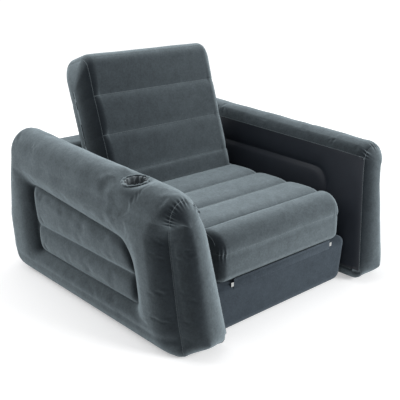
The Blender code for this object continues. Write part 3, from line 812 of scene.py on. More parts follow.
# %% Arm shape
arm_outer_face = 0.577
arm_rise = 0.04
arm_crown, arm_crown_rise = 0.027, 0.013
front_seam, rear_seam = -0.5275, 0.535
outer_quad = [((0.367, 0.398), (-0.217, 0.350)), ((-0.245, 0.347), (-0.305, 0.280)),
              ((-0.292, 0.304), (-0.314, 0.134)), ((-0.302, 0.126), (0.328, 0.126)),
              ((0.336, 0.134), (0.370, 0.384))]
inner_quad = [((0.31, 0.44), (-0.30, 0.425)), ((-0.29, 0.435), (-0.345, 0.37)),
              ((-0.338, 0.38), (-0.342, 0.138)), ((-0.34, 0.138), (0.31, 0.138)),
              ((0.31, 0.13), (0.31, 0.45))]
crease_height, crease_half = 0.232, 0.016
ring_bulge, rim_depth, lobe_rise = 0.009, 0.034, 0.022
ring_foot, ring_top, ring_end = 0.058, 0.50, 0.045
rim_roll, lobe_round = 0.024, 0.011
inner_crease_height, inner_crease_half = 0.252, 0.03
inner_band, inner_band_width, inner_puff = 0.017, 0.03, 0.013


def inside(quad, y, z, reach=0.011):
    """How far points lie inside a rounded outline in the plane of an arm's side."""
    least = None
    for (ya, za), (yb, zb) in quad:
        length = np.hypot(yb - ya, zb - za)
        distance = ((z - za) * (yb - ya) - (y - ya) * (zb - za)) / length
        least = distance if least is None else smooth_least(least, distance, reach)
    return least


def outer_lift(y, z):
    """How far the outer side stands out at a point: the ring, the rolled rim and the two lobes."""
    e = inside(outer_quad, y, z)
    away = np.maximum(-e, 0)
    edge = smooth_least(smooth_least(z - ring_foot, ring_top + arm_rise * (y - front) - z, 0.02),
                        smooth_least(y - (front + ring_end), rear - ring_end - y, 0.02), 0.02)
    share = away / (away + np.maximum(edge, 0.004))
    ring = ring_bulge * np.sin(pi * np.clip(share, 0, 1)) ** 0.7 * ease(edge / 0.03)
    rolled = -rim_depth * np.exp(-(away / rim_roll))
    lobes = lobe_rise * (1 - np.exp(-np.maximum(e, 0) / lobe_round))
    lobes = lobes * (1 - 0.85 * np.exp(-(abs(z - crease_height) / crease_half) ** 1.2))
    return ring + rolled + lobes


def inner_lift(y, z):
    """The same for the inner side, whose recess is shallow and has a soft crease."""
    e = inside(inner_quad, y, z)
    away = np.maximum(-e, 0)
    band = -inner_band * np.exp(-away / inner_band_width)
    puff = inner_puff * (1 - np.exp(-np.maximum(e, 0) / 0.010))
    puff = puff * (1 - np.exp(-abs(z - inner_crease_height) / inner_crease_half))
    return band + puff - 0.004 * ease(e / 0.01)


print("the outer side's crest and crease:", outer_lift(0.0, 0.18).round(4), outer_lift(0.0, 0.232).round(4))

# %% [markdown]
# An arm's section has a foot, an outer side, a round shoulder, a top and a leaning inner side. Its
# points stand closer where a rim or the crease crosses them. Each point knows which way is out and
# which part it belongs to, so that one rule can be given to each part: 0 bottom, 1 outer side,
# 2 top, 3 inner side, 4 inner foot, 5 outer foot, 6 shoulder, 7 inner top corner.

# %% Arm section
inner_top_height, outer_top_height = 0.51, 0.555


def arm_heights(y):
    """How high the arm's inner and outer top corners are at y."""
    rise = arm_rise * (y - front) / overall_depth
    return inner_top_height + rise, outer_top_height + rise


arm_radii = (0.05, 0.055, 0.068, 0.0)
arm_counts = (7, 7, 44, 1)
outer_shares = graded((0.11, 0.018), (0.19, 0.012), (0.23, 0.006), (0.27, 0.006), (0.34, 0.018),
                      (0.40, 0.009), (0.45, 0.009), (0.52, 0.02), (0.61, 0.010), (0.65, 0.006),
                      (0.715, 0.006), (0.785, 0.013))
top_shares = graded((0.77, 0.018), (0.98, 0.018))
inner_shares = graded((0.03, 0.012), (0.12, 0.02), (0.155, 0.006), (0.2, 0.007), (0.26, 0.02),
                      (0.45, 0.02), (0.5, 0.012), (0.56, 0.02), (0.68, 0.02), (0.71, 0.008),
                      (0.75, 0.008), (0.8, 0.03), (0.89, 0.03))
bottom_shares = graded((0.34, 0.08), (0.66, 0.08))


def arm_section(y):
    """The outline of an arm at y: place, outward direction, and which side each point is on."""
    inner_top, outer_top = arm_heights(y)
    corners = [Vector((arm_foot_half, 0)), Vector((arm_outer_face, 0)),
               Vector((arm_outer_face, outer_top)),
               Vector((arm_foot_half + arm_flare * inner_top, inner_top))]
    shares = (bottom_shares, outer_shares, top_shares, inner_shares)
    rows = []
    for i, corner in enumerate(corners):
        following, previous = corners[(i + 1) % 4], corners[i - 1]
        a, b = (corner - previous).normalized(), (following - corner).normalized()
        before, after = Vector((a.y, -a.x)), Vector((b.y, -b.x))
        if arm_counts[i] == 1:
            middle = (before + after).normalized()
            rows.append((*corner, *middle, 7))
        else:
            centre = corner - (before + after) * (arm_radii[i] / (1 + before.dot(after)))
            for k in range(arm_counts[i]):
                turn = before.slerp(after, k / (arm_counts[i] - 1)).normalized()
                rows.append((*(centre + turn * arm_radii[i]), *turn, 4 + i))
        for share in shares[i]:
            at = corner.lerp(following, share)
            rows.append((*at, *after, i))
    return np.array(rows)


print("points round an arm:", len(arm_section(0)))

# %% [markdown]
# Both ends of an arm are pillows: the film rolls inward before the weld, and the end panel carries
# the roll on into a gentle dome. On the outer side the front weld leans back, and the roll is
# longer there than over the top. Near the rear the whole end leans as well, since the arm's rear swells
# most at a third of its height. Each of these rules is a short function of a point's place, and the
# grid is then one walk along the arm that adds them up.

# %% Arm grid
front_turn, rear_turn = radians(42), radians(60)
rear_roll = 0.045
seam_lean = 0.05
arm_stations = graded((front_seam, 0.0035), (front_seam + 0.03, 0.006), (-0.42, 0.013), (-0.37, 0.008),
                      (-0.35, 0.0045), (-0.29, 0.0055), (-0.24, 0.015), (0.25, 0.016), (0.295, 0.006),
                      (0.35, 0.0045), (0.38, 0.01), (0.45, 0.012), (0.50, 0.006), (rear_seam, 0.004))
rear_places = ((0, 0.045), (0.016, 0.026), (0.045, 0.003), (0.095, -0.017), (0.231, -0.030),
               (0.369, -0.012), (0.439, 0.004), (0.53, 0.026), (0.6, 0.046))
front_lean, front_lean_fall = 0.046, 0.137
front_roll, outer_roll_more = 0.05, 0.11
shoulder_turn = 1.868
outer_side_top, outer_side_fade = 0.40, 0.14
weld_lean_reach, rim_lean_reach = 0.16, 0.06
front_rim_y, rear_rim_y = -0.325, 0.325
tuck_reach = 0.05


def outer_side_share(kinds, v, nu):
    """1 on the outer side of a section, 0 on its top and inner side, and between them at its corners."""
    share = 1 - ease((v - outer_side_top) / outer_side_fade)
    share = np.where((kinds == 1) | (kinds == 6), share, 0.0)
    return np.where(kinds == 5, ease(nu), share)


def leaning(y0, kinds, v, nu, side_share):
    """Where a section's points lie along the arm: they follow the front weld's lean and the rims'."""
    near_front = np.clip(1 - (y0 - front_seam) / weld_lean_reach, 0, 1)
    share = np.where((kinds == 5) | (kinds == 0), 1.0, side_share)
    share = np.where(kinds == 4, ease(1 + nu), share)
    y = y0 + seam_lean * share * np.clip(0.8 + v / 2.4, 0, 1) * ease(near_front)
    outer = kinds == 1
    front_rim = np.exp(-((y0 - front_rim_y) / rim_lean_reach) ** 2)
    rear_rim = np.exp(-((y0 - rear_rim_y) / rim_lean_reach) ** 2)
    rim_lean = np.where(outer, (v - 0.21) * 0.2, 0) * front_rim
    rim_lean += np.where(outer, (v - 0.27) * 0.11, 0) * rear_rim
    return y + rim_lean


def film_lift(y0, y, kinds, v, nu, nv):
    """How far the film stands out of the plain section: the sides' relief and the top's crown."""
    shoulder = kinds == 6
    round_share = np.where(shoulder, (pi / 2 - np.arctan2(nu, nv)) / shoulder_turn, 0)
    top_share = (top_shares - 0.74) / 0.26
    lift = np.where(kinds == 1, outer_lift(y, v), 0.0) + np.where(kinds == 3, inner_lift(y, v), 0.0)
    crown = arm_crown + arm_crown_rise * (y0 - front_seam) / overall_depth
    lift[shoulder] += crown * ease(round_share[shoulder] * 1.05)
    lift[kinds == 2] += crown * (1 - top_share ** 1.8)
    return lift


def end_inset(y0, kinds, side_share):
    """How far the film is drawn in by the rolls at both ends. The inner side rolls in less."""
    roll = front_roll + outer_roll_more * side_share
    a = np.arcsin(np.clip(sin(front_turn) - (y0 - front_seam) / roll, 0, 1))
    inset = roll * (1 - np.cos(a)) * np.where((kinds == 3) | (kinds == 7), 0.3, 1.0)
    b = np.arcsin(np.clip(sin(rear_turn) - (rear_seam - y0) / rear_roll, 0, 1))
    return inset + rear_roll * (1 - np.cos(b))


def arm_grid(tuck):
    """The right arm's loops, from the middle of its front panel to the middle of its rear panel.
    tuck is how far the front's inner top corner is drawn in."""
    loops = []
    kinds = arm_section(0)[:, 4]
    inner_corner = kinds == 7
    for y0 in arm_stations:
        u, v, nu, nv, _ = arm_section(y0).T
        side_share = outer_side_share(kinds, v, nu)
        y = leaning(y0, kinds, v, nu, side_share)
        lift = film_lift(y0, y, kinds, v, nu, nv)
        inset = end_inset(y0, kinds, side_share)
        drawn = tuck * np.exp(-((y0 - front_seam) / tuck_reach) ** 2)
        reach = np.hypot(u - u[inner_corner], v - v[inner_corner])
        inset = inset + drawn * np.exp(-(reach / tuck_reach) ** 2)
        shift = np.interp(v, *zip(*rear_places)) * ease((y0 - 0.26) / 0.27)
        loops.append(np.stack([u + nu * (lift - inset), y - shift, v + nv * (lift - inset)], axis=1))
    loops = np.array(loops)
    front_cap = arm_cap(loops[0], -1, front_turn)
    rear_cap = arm_cap(loops[-1], 1, rear_turn)
    grid = np.concatenate([front_cap[::-1], loops, rear_cap])
    forward = ease((-0.28 - grid[:, :, 1]) / 0.22) * (front_lean - front_lean_fall * grid[:, :, 2])
    grid[:, :, 1] -= forward
    return grid, len(front_cap), len(front_cap) + len(loops) - 1, kinds


def arm_cap(rim, towards, turn):
    """Rings of an end panel, from just inside its weld to a thin loop round its middle line."""
    low, high = rim[:, 2].min(), rim[:, 2].max()
    half = np.ptp(rim[:, 0]) / 2 * 0.85
    z = np.clip(rim[:, 2], low + half * 0.6, high - half)
    middle_x = (arm_foot_half + arm_flare * z + arm_outer_face) / 2
    if towards < 0:
        face = front + 0.006 * ease((z - 0.30) / 0.3)
    else:
        face = rear - np.interp(z, *zip(*rear_places))
    core = np.stack([middle_x, face, z], axis=1)
    reach = np.hypot(core[:, 0] - rim[:, 0], core[:, 2] - rim[:, 2])
    forward = abs(core[:, 1] - rim[:, 1])
    power = np.clip(reach / np.tan(turn) / np.maximum(forward, 0.01), 1.7, 2.6)
    rings = []
    for t in graded((0, 0.035), (0.25, 0.06), (0.94, 0.13))[1:]:
        ring = rim + (core - rim) * t
        ring[:, 1] = rim[:, 1] + (core[:, 1] - rim[:, 1]) * (1 - (1 - t) ** power)
        for _ in range(int(round(60 * t))):
            ring = 0.5 * ring + 0.25 * (np.roll(ring, 1, axis=0) + np.roll(ring, -1, axis=0))
        rings.append(ring)
    return np.array(rings)


right_tuck, left_tuck = 0.004, 0.018
right_arm_grid, arm_first, arm_last, arm_kinds = arm_grid(right_tuck)
left_arm_grid = arm_grid(left_tuck)[0] * np.array([-1, 1, 1])
inner_corner_column = int(np.where(arm_kinds == 7)[0][0])
print("arm grid:", right_arm_grid.shape)

# %% [markdown]
# The cup holder is a pleated pocket of film, welded into a hole in the left arm's top. Its round lip
# is a little cushion of its own, and it pulls the film round it down into a shallow dimple.

# %% Cup place and valve places
cup_x, cup_y, cup_radius = -0.508, -0.260, 0.041
cup_sink, cup_slope, cup_level_reach = 0.006, 0.12, 0.072
lip_sink, lip_ring, lip_reach = 0.0035, 0.05, 0.022
valve_flat, valve_flat_fade = 0.042, 0.03
valve_places = {
    "seat_valve": (seat_turn @ Matrix.Translation((-0.36, seat_length / 2, 0.0936))
                   @ Matrix.Rotation(-pi / 2, 4, "Y")),
    "wall_valve": Matrix.Translation((0.2, wall_back, 0.4293)) @ Matrix.Rotation(-pi / 2, 4, "X"),
    "backrest_valve": (back_turn @ Matrix.Translation((0.2, 0.324875, -0.167))
                       @ Matrix.Rotation(pi, 4, "X"))}


def near_valve(grid, name):
    """From 0 beside a valve to 1 away from it."""
    m = np.array(valve_places[name])
    offset = grid - m[:3, 3]
    beside = offset - (offset @ m[:3, 2])[..., None] * m[:3, 2]
    far = abs(offset @ m[:3, 2]) / 0.05
    return np.maximum(ease((np.linalg.norm(beside, axis=-1) - valve_flat) / valve_flat_fade), ease(far))


def flattened(grid, name):
    """The film lies flat where a valve is welded to it."""
    m = np.array(valve_places[name])
    raised = (grid - m[:3, 3]) @ m[:3, 2]
    return grid - m[:3, 2] * (raised * (1 - near_valve(grid, name)))[..., None]


def dimpled(grid):
    """The film round the cup holder is drawn flat, and a little down."""
    away = np.hypot(grid[..., 0] - cup_x, grid[..., 1] - cup_y)
    top = ease((grid[..., 2] - 0.48) / 0.03)
    near = (away < 0.06) & (top > 0.5)
    height = grid[..., 2][near].mean() - cup_sink + cup_slope * (grid[..., 0] - cup_x)
    share = np.exp(-(away / cup_level_reach) ** 4) * top
    grid = grid.copy()
    grid[..., 2] += (height - grid[..., 2]) * share
    sunk = lip_sink * np.exp(-((away - lip_ring) / lip_reach) ** 2) * ease((grid[..., 2] - 0.48) / 0.03)
    return grid - sunk[..., None] * np.array([0, 0, 1])


print("the cup holder is", round(cup_radius * 2000), "mm wide at", (cup_x, cup_y))

# %% [markdown]
# Now the air goes in. Each chamber says where its film is held: along its welds, in its grooves and
# wherever it rests against a neighbour. Then the welds draw the film in, and short puckers are
# pressed across them, most where a weld turns a corner, because there the film has to gather.

# %% Arms under air
arm_swell, cushion_swell = 0.0022, 0.0028


def arm_give(grid, kinds):
    """How freely an arm's film moves at each point, from 0, held, to 1."""
    y, z = grid[:, :, 1], grid[:, :, 2]
    x = abs(grid[:, :, 0])
    away = distance_along(grid)
    welds = np.minimum(abs(away - away[arm_first]), abs(away - away[arm_last]))
    give = ease(welds / 0.03)
    around = np.linalg.norm(grid - grid[:, [inner_corner_column]], axis=2)
    give = give * ease(around / 0.03)
    give[:, (kinds == 0) | (kinds == 4)] = 0
    give *= ease((z - 0.015) / 0.05)
    e = inside(outer_quad, y, z)
    outer_side = (kinds == 1)[None, :]
    give = give * np.where(outer_side, ease(abs(e) / 0.02), 1)
    off_crease = np.maximum(ease(abs(z - crease_height) / 0.03), ease(-e / 0.01))
    give = give * np.where(outer_side, off_crease, 1)
    inner_side = (kinds == 3)[None, :]
    e = inside(inner_quad, y, z)
    give = give * np.where(inner_side, ease(abs(e) / 0.02) * 0.5, 1)
    give[inner_side & ((z < 0.24) | (y > 0.30))] = 0
    return give * ease((np.hypot(x + cup_x, y - cup_y) - 0.055) / 0.04)


def arm_pucker_place(kinds, grid):
    """Where an arm's weld is gathered: most over its top, a little at its foot."""
    z = grid[arm_first, :, 2]
    top = np.where((kinds == 6) | (kinds == 2) | (kinds == 7), 1.0, 0.1)
    low = np.exp(-((z - 0.01) / 0.05) ** 2)
    return np.clip(top * (1 - 0.6 * low) + 0.1 * low, 0, 1)


def soft_lumps(grid, size, height, seed):
    """Slow, uneven swells, as in any hand-filled chamber."""
    random = np.random.default_rng(seed)
    total = np.zeros(grid.shape[:2])
    for _ in range(7):
        way = random.normal(size=3)
        way /= np.linalg.norm(way)
        total += np.sin(grid @ way * tau / (size * random.uniform(0.8, 1.7)) + random.uniform(0, tau))
    return grid + grid_normals(grid) * (total * height / 3)[..., None]


def arm_marks():
    """Which faces of an arm are plain film: those of its inner side and underside."""
    marks = np.zeros((right_arm_grid.shape[0] - 1, len(arm_kinds)), int)
    plain = (arm_kinds == 3) | (arm_kinds == 0) | (arm_kinds == 7)
    marks[arm_first:arm_last, :] = np.where(plain, 1, 0)[None, :]
    return marks


arm_grids = {}
for word, grid in (("left", left_arm_grid), ("right", right_arm_grid)):
    give = arm_give(grid, arm_kinds)
    grid = blown_up(word + "_arm", grid, give, arm_swell)
    lumpy = soft_lumps(grid, 0.12, 0.0008, 3 if word == "left" else 4)
    grid = grid + (lumpy - grid) * give[..., None]
    if word == "left":
        grid = dimpled(grid)
    grid = welded(grid, arm_first)
    grid = welded(grid, arm_last)
    grid = puckered(grid, arm_first, 0.0036, 0.0135, 0.0115, arm_pucker_place(arm_kinds, grid), seed=11)
    grid = puckered(grid, arm_last, 0.0012, 0.014, 0.012, arm_pucker_place(arm_kinds, grid), seed=12)
    arm_grids[word] = grid
print("arms under air:", {word: grid.shape for word, grid in arm_grids.items()})

# %% [markdown]
# The cushions are blown up in the same way. What differs is where each of them rests: the seat on
# the base, the backrest on the rear wall, and the base and the wall between the arms. Film that
# presses on a neighbour is held still, so that no two chambers swell into each other.

# %% Cushions under air


def cushion_give(grid, first, last, grooves=()):
    """Free film on a cushion, away from its welds. grooves are the columns that are welded down."""
    away = distance_along(grid)
    give = ease(np.minimum(abs(away - away[first]), abs(away - away[last])) / 0.03)
    for column in grooves:
        from_groove = np.linalg.norm(grid - grid[:, column:column + 1], axis=2)
        give = give * ease(from_groove / 0.022)
    return give


def columns_at(row_grid, axis, places, other, value):
    """The columns of a row whose points lie at the given places on one face of the section."""
    found = []
    for place in places:
        distance = abs(row_grid[:, axis] - place) + 10 * (abs(row_grid[:, other] - value) > 0.03)
        found.append(int(np.argmin(distance)))
    return found


def free_of_neighbours(name, give, x, y, z):
    """The give of a cushion's film, less where it rests on a neighbour."""
    if name == "seat":
        return give * (ease((z - 0.03) / 0.03) * ease((seat_length - 0.03 - y) / 0.03))
    if name == "back":
        return give * (ease((z + 0.12) / 0.03) * ease((y - 0.04) / 0.03))
    if name == "base":
        front_face = ease((hinge_y + 0.04 - y) / 0.03)
        return front_face * ease((z - 0.03) / 0.03) * ease((0.16 - z) / 0.03) * (x < 0.34)
    return give * (ease((y - wall_front - 0.10) / 0.04) * ease((z - 0.05) / 0.04) * (x < 0.34))


def nose_gathers(grid, weld):
    """The seat's nose weld draws the film in, most near the seat's ends."""
    away = np.linalg.norm(grid - grid[:, weld:weld + 1], axis=2)
    along = distance_along(grid)[:, weld]
    ends = np.exp(-((abs(grid[:, weld, 0]) - 0.325) / 0.035) ** 2)
    gathers = np.sin(tau * along / 0.013 + 1.5 * np.sin(along * 60)) * (ends + 0.12)
    raised = 0.0032 * gathers[:, None] * np.exp(-(away / 0.016) ** 1.5)
    return grid + grid_normals(grid) * raised[..., None]


nose_column = columns_at(seat_grid[40], 2, [nose_weld], 1, film_gap)[0]
top_column = columns_at(back_grid[40], 1, [backrest_length - 0.3 * top_round], 2, 0.005)[0]
lump_seeds = {"seat": 119, "back": 102, "base": 102, "wall": 123}
cushions, groove_columns = {}, {}
for name, grid, first, last, cushion, turn in (
        ("seat", seat_grid, seat_first, seat_last, seat, seat_turn),
        ("back", back_grid, back_first, back_last, back, back_turn),
        ("base", base_grid, base_first, base_last, base, Matrix.Identity(4)),
        ("wall", wall_grid, wall_first, wall_last, wall, Matrix.Identity(4))):
    middle = grid[(first + last) // 2]
    grooves = []
    for i, ribs in enumerate(cushion.ribs):
        if ribs is not None:
            corner = cushion.corners[i].at
            axis = 2 if i % 2 else 1
            grooves += columns_at(middle, axis, ribs.valleys, 3 - axis, corner[2 - axis])
    groove_columns[name] = grooves
    give = cushion_give(grid, first, last, grooves)
    give = free_of_neighbours(name, give, abs(grid[:, :, 0]), grid[:, :, 1], grid[:, :, 2])
    grid = blown_up(name, grid, give, cushion_swell)
    grid = grid + (soft_lumps(grid, 0.11, 0.0006, lump_seeds[name]) - grid) * give[..., None]
    grid = welded(grid, first)
    grid = welded(grid, last)
    for row, seed in ((first, 21), (last, 22)):
        where = np.where(abs(grid[row, :, 2] - grid[row, :, 2].min()) < 0.02, 0.0, 1.0)
        if name in ("base", "wall"):
            where = where * 0.2
        grid = puckered(grid, row, 0.0009, 0.0125, 0.010, where, seed)
    if name == "seat":
        grid = nose_gathers(grid, nose_column)
    cushions[name] = turned_grid(grid, turn)

cushions["seat"] = flattened(cushions["seat"], "seat_valve")
cushions["back"] = flattened(cushions["back"], "backrest_valve")
cushions["wall"] = flattened(cushions["wall"], "wall_valve")
print("cushions under air:", list(cushions), "with grooves", {k: len(v) for k, v in groove_columns.items()})

# %% [markdown]
# A valve needs a round pocket in the film behind it, and so does the cup. The grid could be drawn
# round each hole, but a Boolean with a plain cylinder is shorter, and the edge it leaves is hidden
# under the valve's flange and the cup's lip.

# %% Pockets
valve_pocket_radius, valve_pocket_low, valve_pocket_high = 0.0268, -0.042, 0.01
cup_pocket_low, cup_pocket_high = 0.462, 0.65


def pocket(piece, matrix, radius, low, high):
    bm = bmesh.new()
    bmesh.ops.create_cone(bm, cap_ends=True, segments=64, radius1=radius, radius2=radius,
                          depth=high - low,
                          matrix=matrix @ Matrix.Translation((0, 0, (low + high) / 2)))
    mesh = bpy.data.meshes.new("cutter")
    bm.to_mesh(mesh)
    bm.free()
    cutter = bpy.data.objects.new("cutter", mesh)
    bpy.context.collection.objects.link(cutter)
    hole = piece.modifiers.new("pocket", "BOOLEAN")
    hole.operation, hole.solver, hole.object = "DIFFERENCE", "EXACT", cutter
    hole.use_self = piece.name == "fold_out_seat"
    cut = bpy.data.meshes.new_from_object(piece.evaluated_get(bpy.context.evaluated_depsgraph_get()))
    piece.modifiers.clear()
    print(piece.name, "pocket:", len(piece.data.vertices), "to", len(cut.vertices), "points")
    old = piece.data
    piece.data = cut
    cut.name = piece.name
    bpy.data.meshes.remove(old)
    bpy.data.objects.remove(cutter, do_unlink=True)
    return piece


# %% [markdown]
# The finished grids become the six chambers. Each stands for its wrap and its two end panels, and
# rides on the body that they ride on. An arm has two films: flocked outside, and bare inside.

# %% Chambers
chambers = {}
for word, grid in arm_grids.items():
    mesh = mesh_of_grid(word + "_arm", grid, arm_marks())
    chambers[word + "_arm"] = place_mesh(word + "_arm", mesh, film_flocked, film_vinyl)
for name, key, used in (("fold_out_seat", "seat", film_flocked), ("backrest", "back", film_flocked),
                        ("seat_base", "base", film_base), ("rear_wall", "wall", film_flocked)):
    chambers[name] = place_mesh(name, mesh_of_grid(name, cushions[key]), used)

for name, place in (("fold_out_seat", "seat_valve"), ("backrest", "backrest_valve"),
                    ("rear_wall", "wall_valve")):
    pocket(chambers[name], valve_places[place], valve_pocket_radius, valve_pocket_low, valve_pocket_high)
pocket(chambers["left_arm"], Matrix.Translation((cup_x, cup_y, 0)), cup_radius + 0.0004,
       cup_pocket_low, cup_pocket_high)
for word in ("left", "right"):
    hand_over(chambers[word + "_arm"], "surround", "flocked_film", word + "_arm_wrap",
              word + "_arm_front_panel", word + "_arm_rear_panel", fill=air_fill)
for name, body in (("fold_out_seat", "fold_out_seat"), ("backrest", "backrest"),
                   ("seat_base", "surround"), ("rear_wall", "surround")):
    hand_over(chambers[name], body, "flocked_film", name + "_wrap", name + "_left_panel",
              name + "_right_panel", fill=air_fill)
print("chambers:", {name: len(piece.data.vertices) for name, piece in chambers.items()})

# %% [markdown]
# A weld shows as a fine raised line, where the two films meet and are trimmed. It catches more light
# than the film beside it, and here its film is also painted paler, as a painted highlight. Thin tubes
# laid along the lines of the grids stand for these edges. The rims of the outer recesses are welded
# too, so a line is also found there, by looking for the place where the distance inside the rim is
# nought. The seat's left weld is only drawn on its upper part, because its lower part lies against
# the valve and the arm, and no groove is drawn under the seat or behind the backrest.

# %% Weld lines


def joined(name, pieces):
    """One piece made of several, with the first one's material."""
    bm = bmesh.new()
    for piece in pieces:
        bm.from_mesh(piece.data)
    mesh = bpy.data.meshes.new(name)
    used = pieces[0].data.materials[0]
    for piece in pieces:
        bpy.data.objects.remove(piece, do_unlink=True)
    bm.to_mesh(mesh)
    bm.free()
    return place_mesh(name, mesh, used)


def rim_line(quad, side, surface, count=150):
    """Points on an arm's surface where a recess's rim runs."""
    centre = np.array([0.03, 0.24])
    points = []
    for angle in np.linspace(0, tau, count, endpoint=False):
        near, far = 0.0, 0.5
        for _ in range(24):
            middle = (near + far) / 2
            y, z = centre + middle * np.array([cos(angle), sin(angle)])
            near, far = (middle, far) if inside(quad, y, z) > 0 else (near, middle)
        y, z = centre + near * np.array([cos(angle), sin(angle)])
        hit, at, _, _ = surface.ray_cast(Vector((side * 0.8, y, z)), Vector((-side, 0, 0)))
        if hit:
            points.append(at)
    return points


rim_radius, groove_radius, fine_radius = 0.0014, 0.0016, 0.0007
bare_above, bare_behind = 0.33, 0.36
for word, side in (("left", -1), ("right", 1)):
    grid = arm_grids[word]
    top_edge = grid[arm_first:arm_last + 1, inner_corner_column]
    lines = [bead("line", grid[arm_first], seam_radius, painted_highlight_seam_film),
             bead("line", grid[arm_last], seam_radius, painted_highlight_seam_film),
             bead("line", top_edge, seam_radius, painted_highlight_seam_film, closed=False),
             bead("line", rim_line(outer_quad, side, chambers[word + "_arm"]), rim_radius, painted_highlight_seam_film)]
    hand_over(joined(word + "_arm_welds", lines), "surround", "flocked_film")

for key, body, extra in (("seat", "fold_out_seat", nose_column), ("back", "backrest", top_column),
                         ("base", "surround", None), ("wall", "surround", None)):
    grid = cushions[key]
    first, last = {"seat": (seat_first, seat_last), "back": (back_first, back_last),
                   "base": (base_first, base_last), "wall": (wall_first, wall_last)}[key]
    shown = [k for k in range(grid.shape[1]) if key != "seat" or grid[first, k, 2] > bare_above]
    lines = [bead("line", grid[first, shown], seam_radius, painted_highlight_seam_film, closed=key != "seat"),
             bead("line", grid[last], seam_radius, painted_highlight_seam_film)]
    for column in groove_columns[key] if extra is not None else []:
        at = grid[(first + last) // 2, column]
        if (key == "seat" and at[2] < bare_above) or (key == "back" and at[1] > bare_behind):
            continue
        lines.append(bead("line", grid[first:last + 1, column], groove_radius, painted_highlight_seam_film, closed=False))
    if extra is not None:
        lines.append(bead("line", grid[first:last + 1, extra], fine_radius, painted_highlight_seam_film, closed=False))
    print(key, "weld lines:", len(lines))
    hand_over(joined(key + "_welds", lines), body, "flocked_film")

# %% [markdown]
# Round parts are turned from a profile, as they would be moulded or cut on a lathe. A profile that
# touches the axis is closed there by a flat cap. One that doesn't is closed on itself. A Screw
# modifier would turn a profile too, but the ridges that fingers hold are easier to add point by point.

# %% Turning
sharp_angle = radians(38)


def rounded(points, radius, steps=3):
    """A closed outline with its corners rounded off."""
    made = []
    count = len(points)
    for i, corner in enumerate(points):
        at = Vector(corner)
        back_way, on_way = Vector(points[i - 1]) - at, Vector(points[(i + 1) % count]) - at
        reach = min(radius, back_way.length * 0.45, on_way.length * 0.45)
        start, stop = at + back_way.normalized() * reach, at + on_way.normalized() * reach
        for k in range(steps + 1):
            t = k / steps
            made.append(tuple(start * (1 - t) ** 2 + at * (2 * t * (1 - t)) + stop * t ** 2))
    return made


def turned(name, profile, matrix, *materials, sides=56, closed=True, grip=None):
    """A piece turned about its z axis. grip is (from radius, count, depth) of ridges on its rim."""
    turns = np.linspace(0, tau, sides, endpoint=False)
    loops = []
    for r, z in profile:
        radius = np.full(sides, r)
        if grip is not None and r > grip[0]:
            radius = r - grip[2] * (0.5 + 0.5 * np.cos(turns * grip[1])) ** 3
        loops.append(np.stack([radius * np.cos(turns), radius * np.sin(turns), np.full(sides, z)], axis=1))
    mesh = ring_mesh(name, np.array(loops)) if closed else mesh_of_grid(name, np.array(loops))
    mesh.transform(matrix)
    obj = place_mesh(name, mesh, *materials)
    mesh.set_sharp_from_angle(angle=sharp_angle)
    return obj


def block(name, low, high, radius, matrix, *materials):
    """A bar with rounded edges between two corners."""
    bm = bmesh.new()
    bmesh.ops.create_cube(bm, size=1)
    low, high = Vector(low), Vector(high)
    bmesh.ops.scale(bm, vec=high - low, verts=bm.verts)
    bmesh.ops.translate(bm, vec=(low + high) / 2, verts=bm.verts)
    bmesh.ops.bevel(bm, geom=list(bm.edges), offset=radius, segments=3, profile=0.5, affect="EDGES")
    bmesh.ops.transform(bm, matrix=matrix, verts=bm.verts)
    mesh = bpy.data.meshes.new(name)
    bm.to_mesh(mesh)
    bm.free()
    return place_mesh(name, mesh, *materials)


def united(piece, other):
    """One closed piece made of two that overlap."""
    union = piece.modifiers.new("one", "BOOLEAN")
    union.operation, union.solver, union.object = "UNION", "EXACT", other
    mesh = bpy.data.meshes.new_from_object(piece.evaluated_get(bpy.context.evaluated_depsgraph_get()))
    piece.modifiers.clear()
    piece.data = mesh
    bpy.data.objects.remove(other, do_unlink=True)
    mesh.shade_smooth()
    mesh.set_sharp_from_angle(angle=sharp_angle)
    return piece


print("a rounded square has", len(rounded([(0, 0), (1, 0), (1, 1), (0, 1)], 0.1)), "points")

# %% [markdown]
# The cup holder's well is gathered film, so its wall falls into upright pleats that are deepest
# halfway down. Its lip is a soft roll, pinched between the pleats. The lip's height follows the arm's
# top, which a ray from above measures.

# %% Cup holder
left_arm = chambers["left_arm"]


def arm_top(x, y):
    """The height of the left arm's film, found by a ray from above."""
    hit, at, _, _ = left_arm.ray_cast(Vector((x, y, 0.9)), Vector((0, 0, -1)))
    return at.z if hit else 0.55


pleats, pleat_depth = 11, 0.0115
cup_points = 208
cup_turns = np.linspace(0, tau, cup_points, endpoint=False)
cup_wave = 0.5 + 0.5 * np.cos(cup_turns * pleats + 0.8 * np.sin(cup_turns * 3) + 0.4)
beside_cup = cup_radius + 0.004
top_heights = np.array([arm_top(cup_x + beside_cup * cos(t), cup_y + beside_cup * sin(t))
                        for t in cup_turns])
for _ in range(40):
    top_heights = 0.5 * top_heights + 0.25 * (np.roll(top_heights, 1) + np.roll(top_heights, -1))
well_foot, well_outside, well_foot_radius = 0.4642, 0.0412, 0.0370
strength = 0.75 + 0.25 * np.cos(cup_turns * 2 + 1)


def well_loop(radius, share):
    """A loop of the well at a share of its height, which follows the arm's top."""
    z = well_foot + (top_heights + 0.001 - well_foot) * share
    return np.stack([cup_x + radius * np.cos(cup_turns), cup_y + radius * np.sin(cup_turns), z], axis=1)


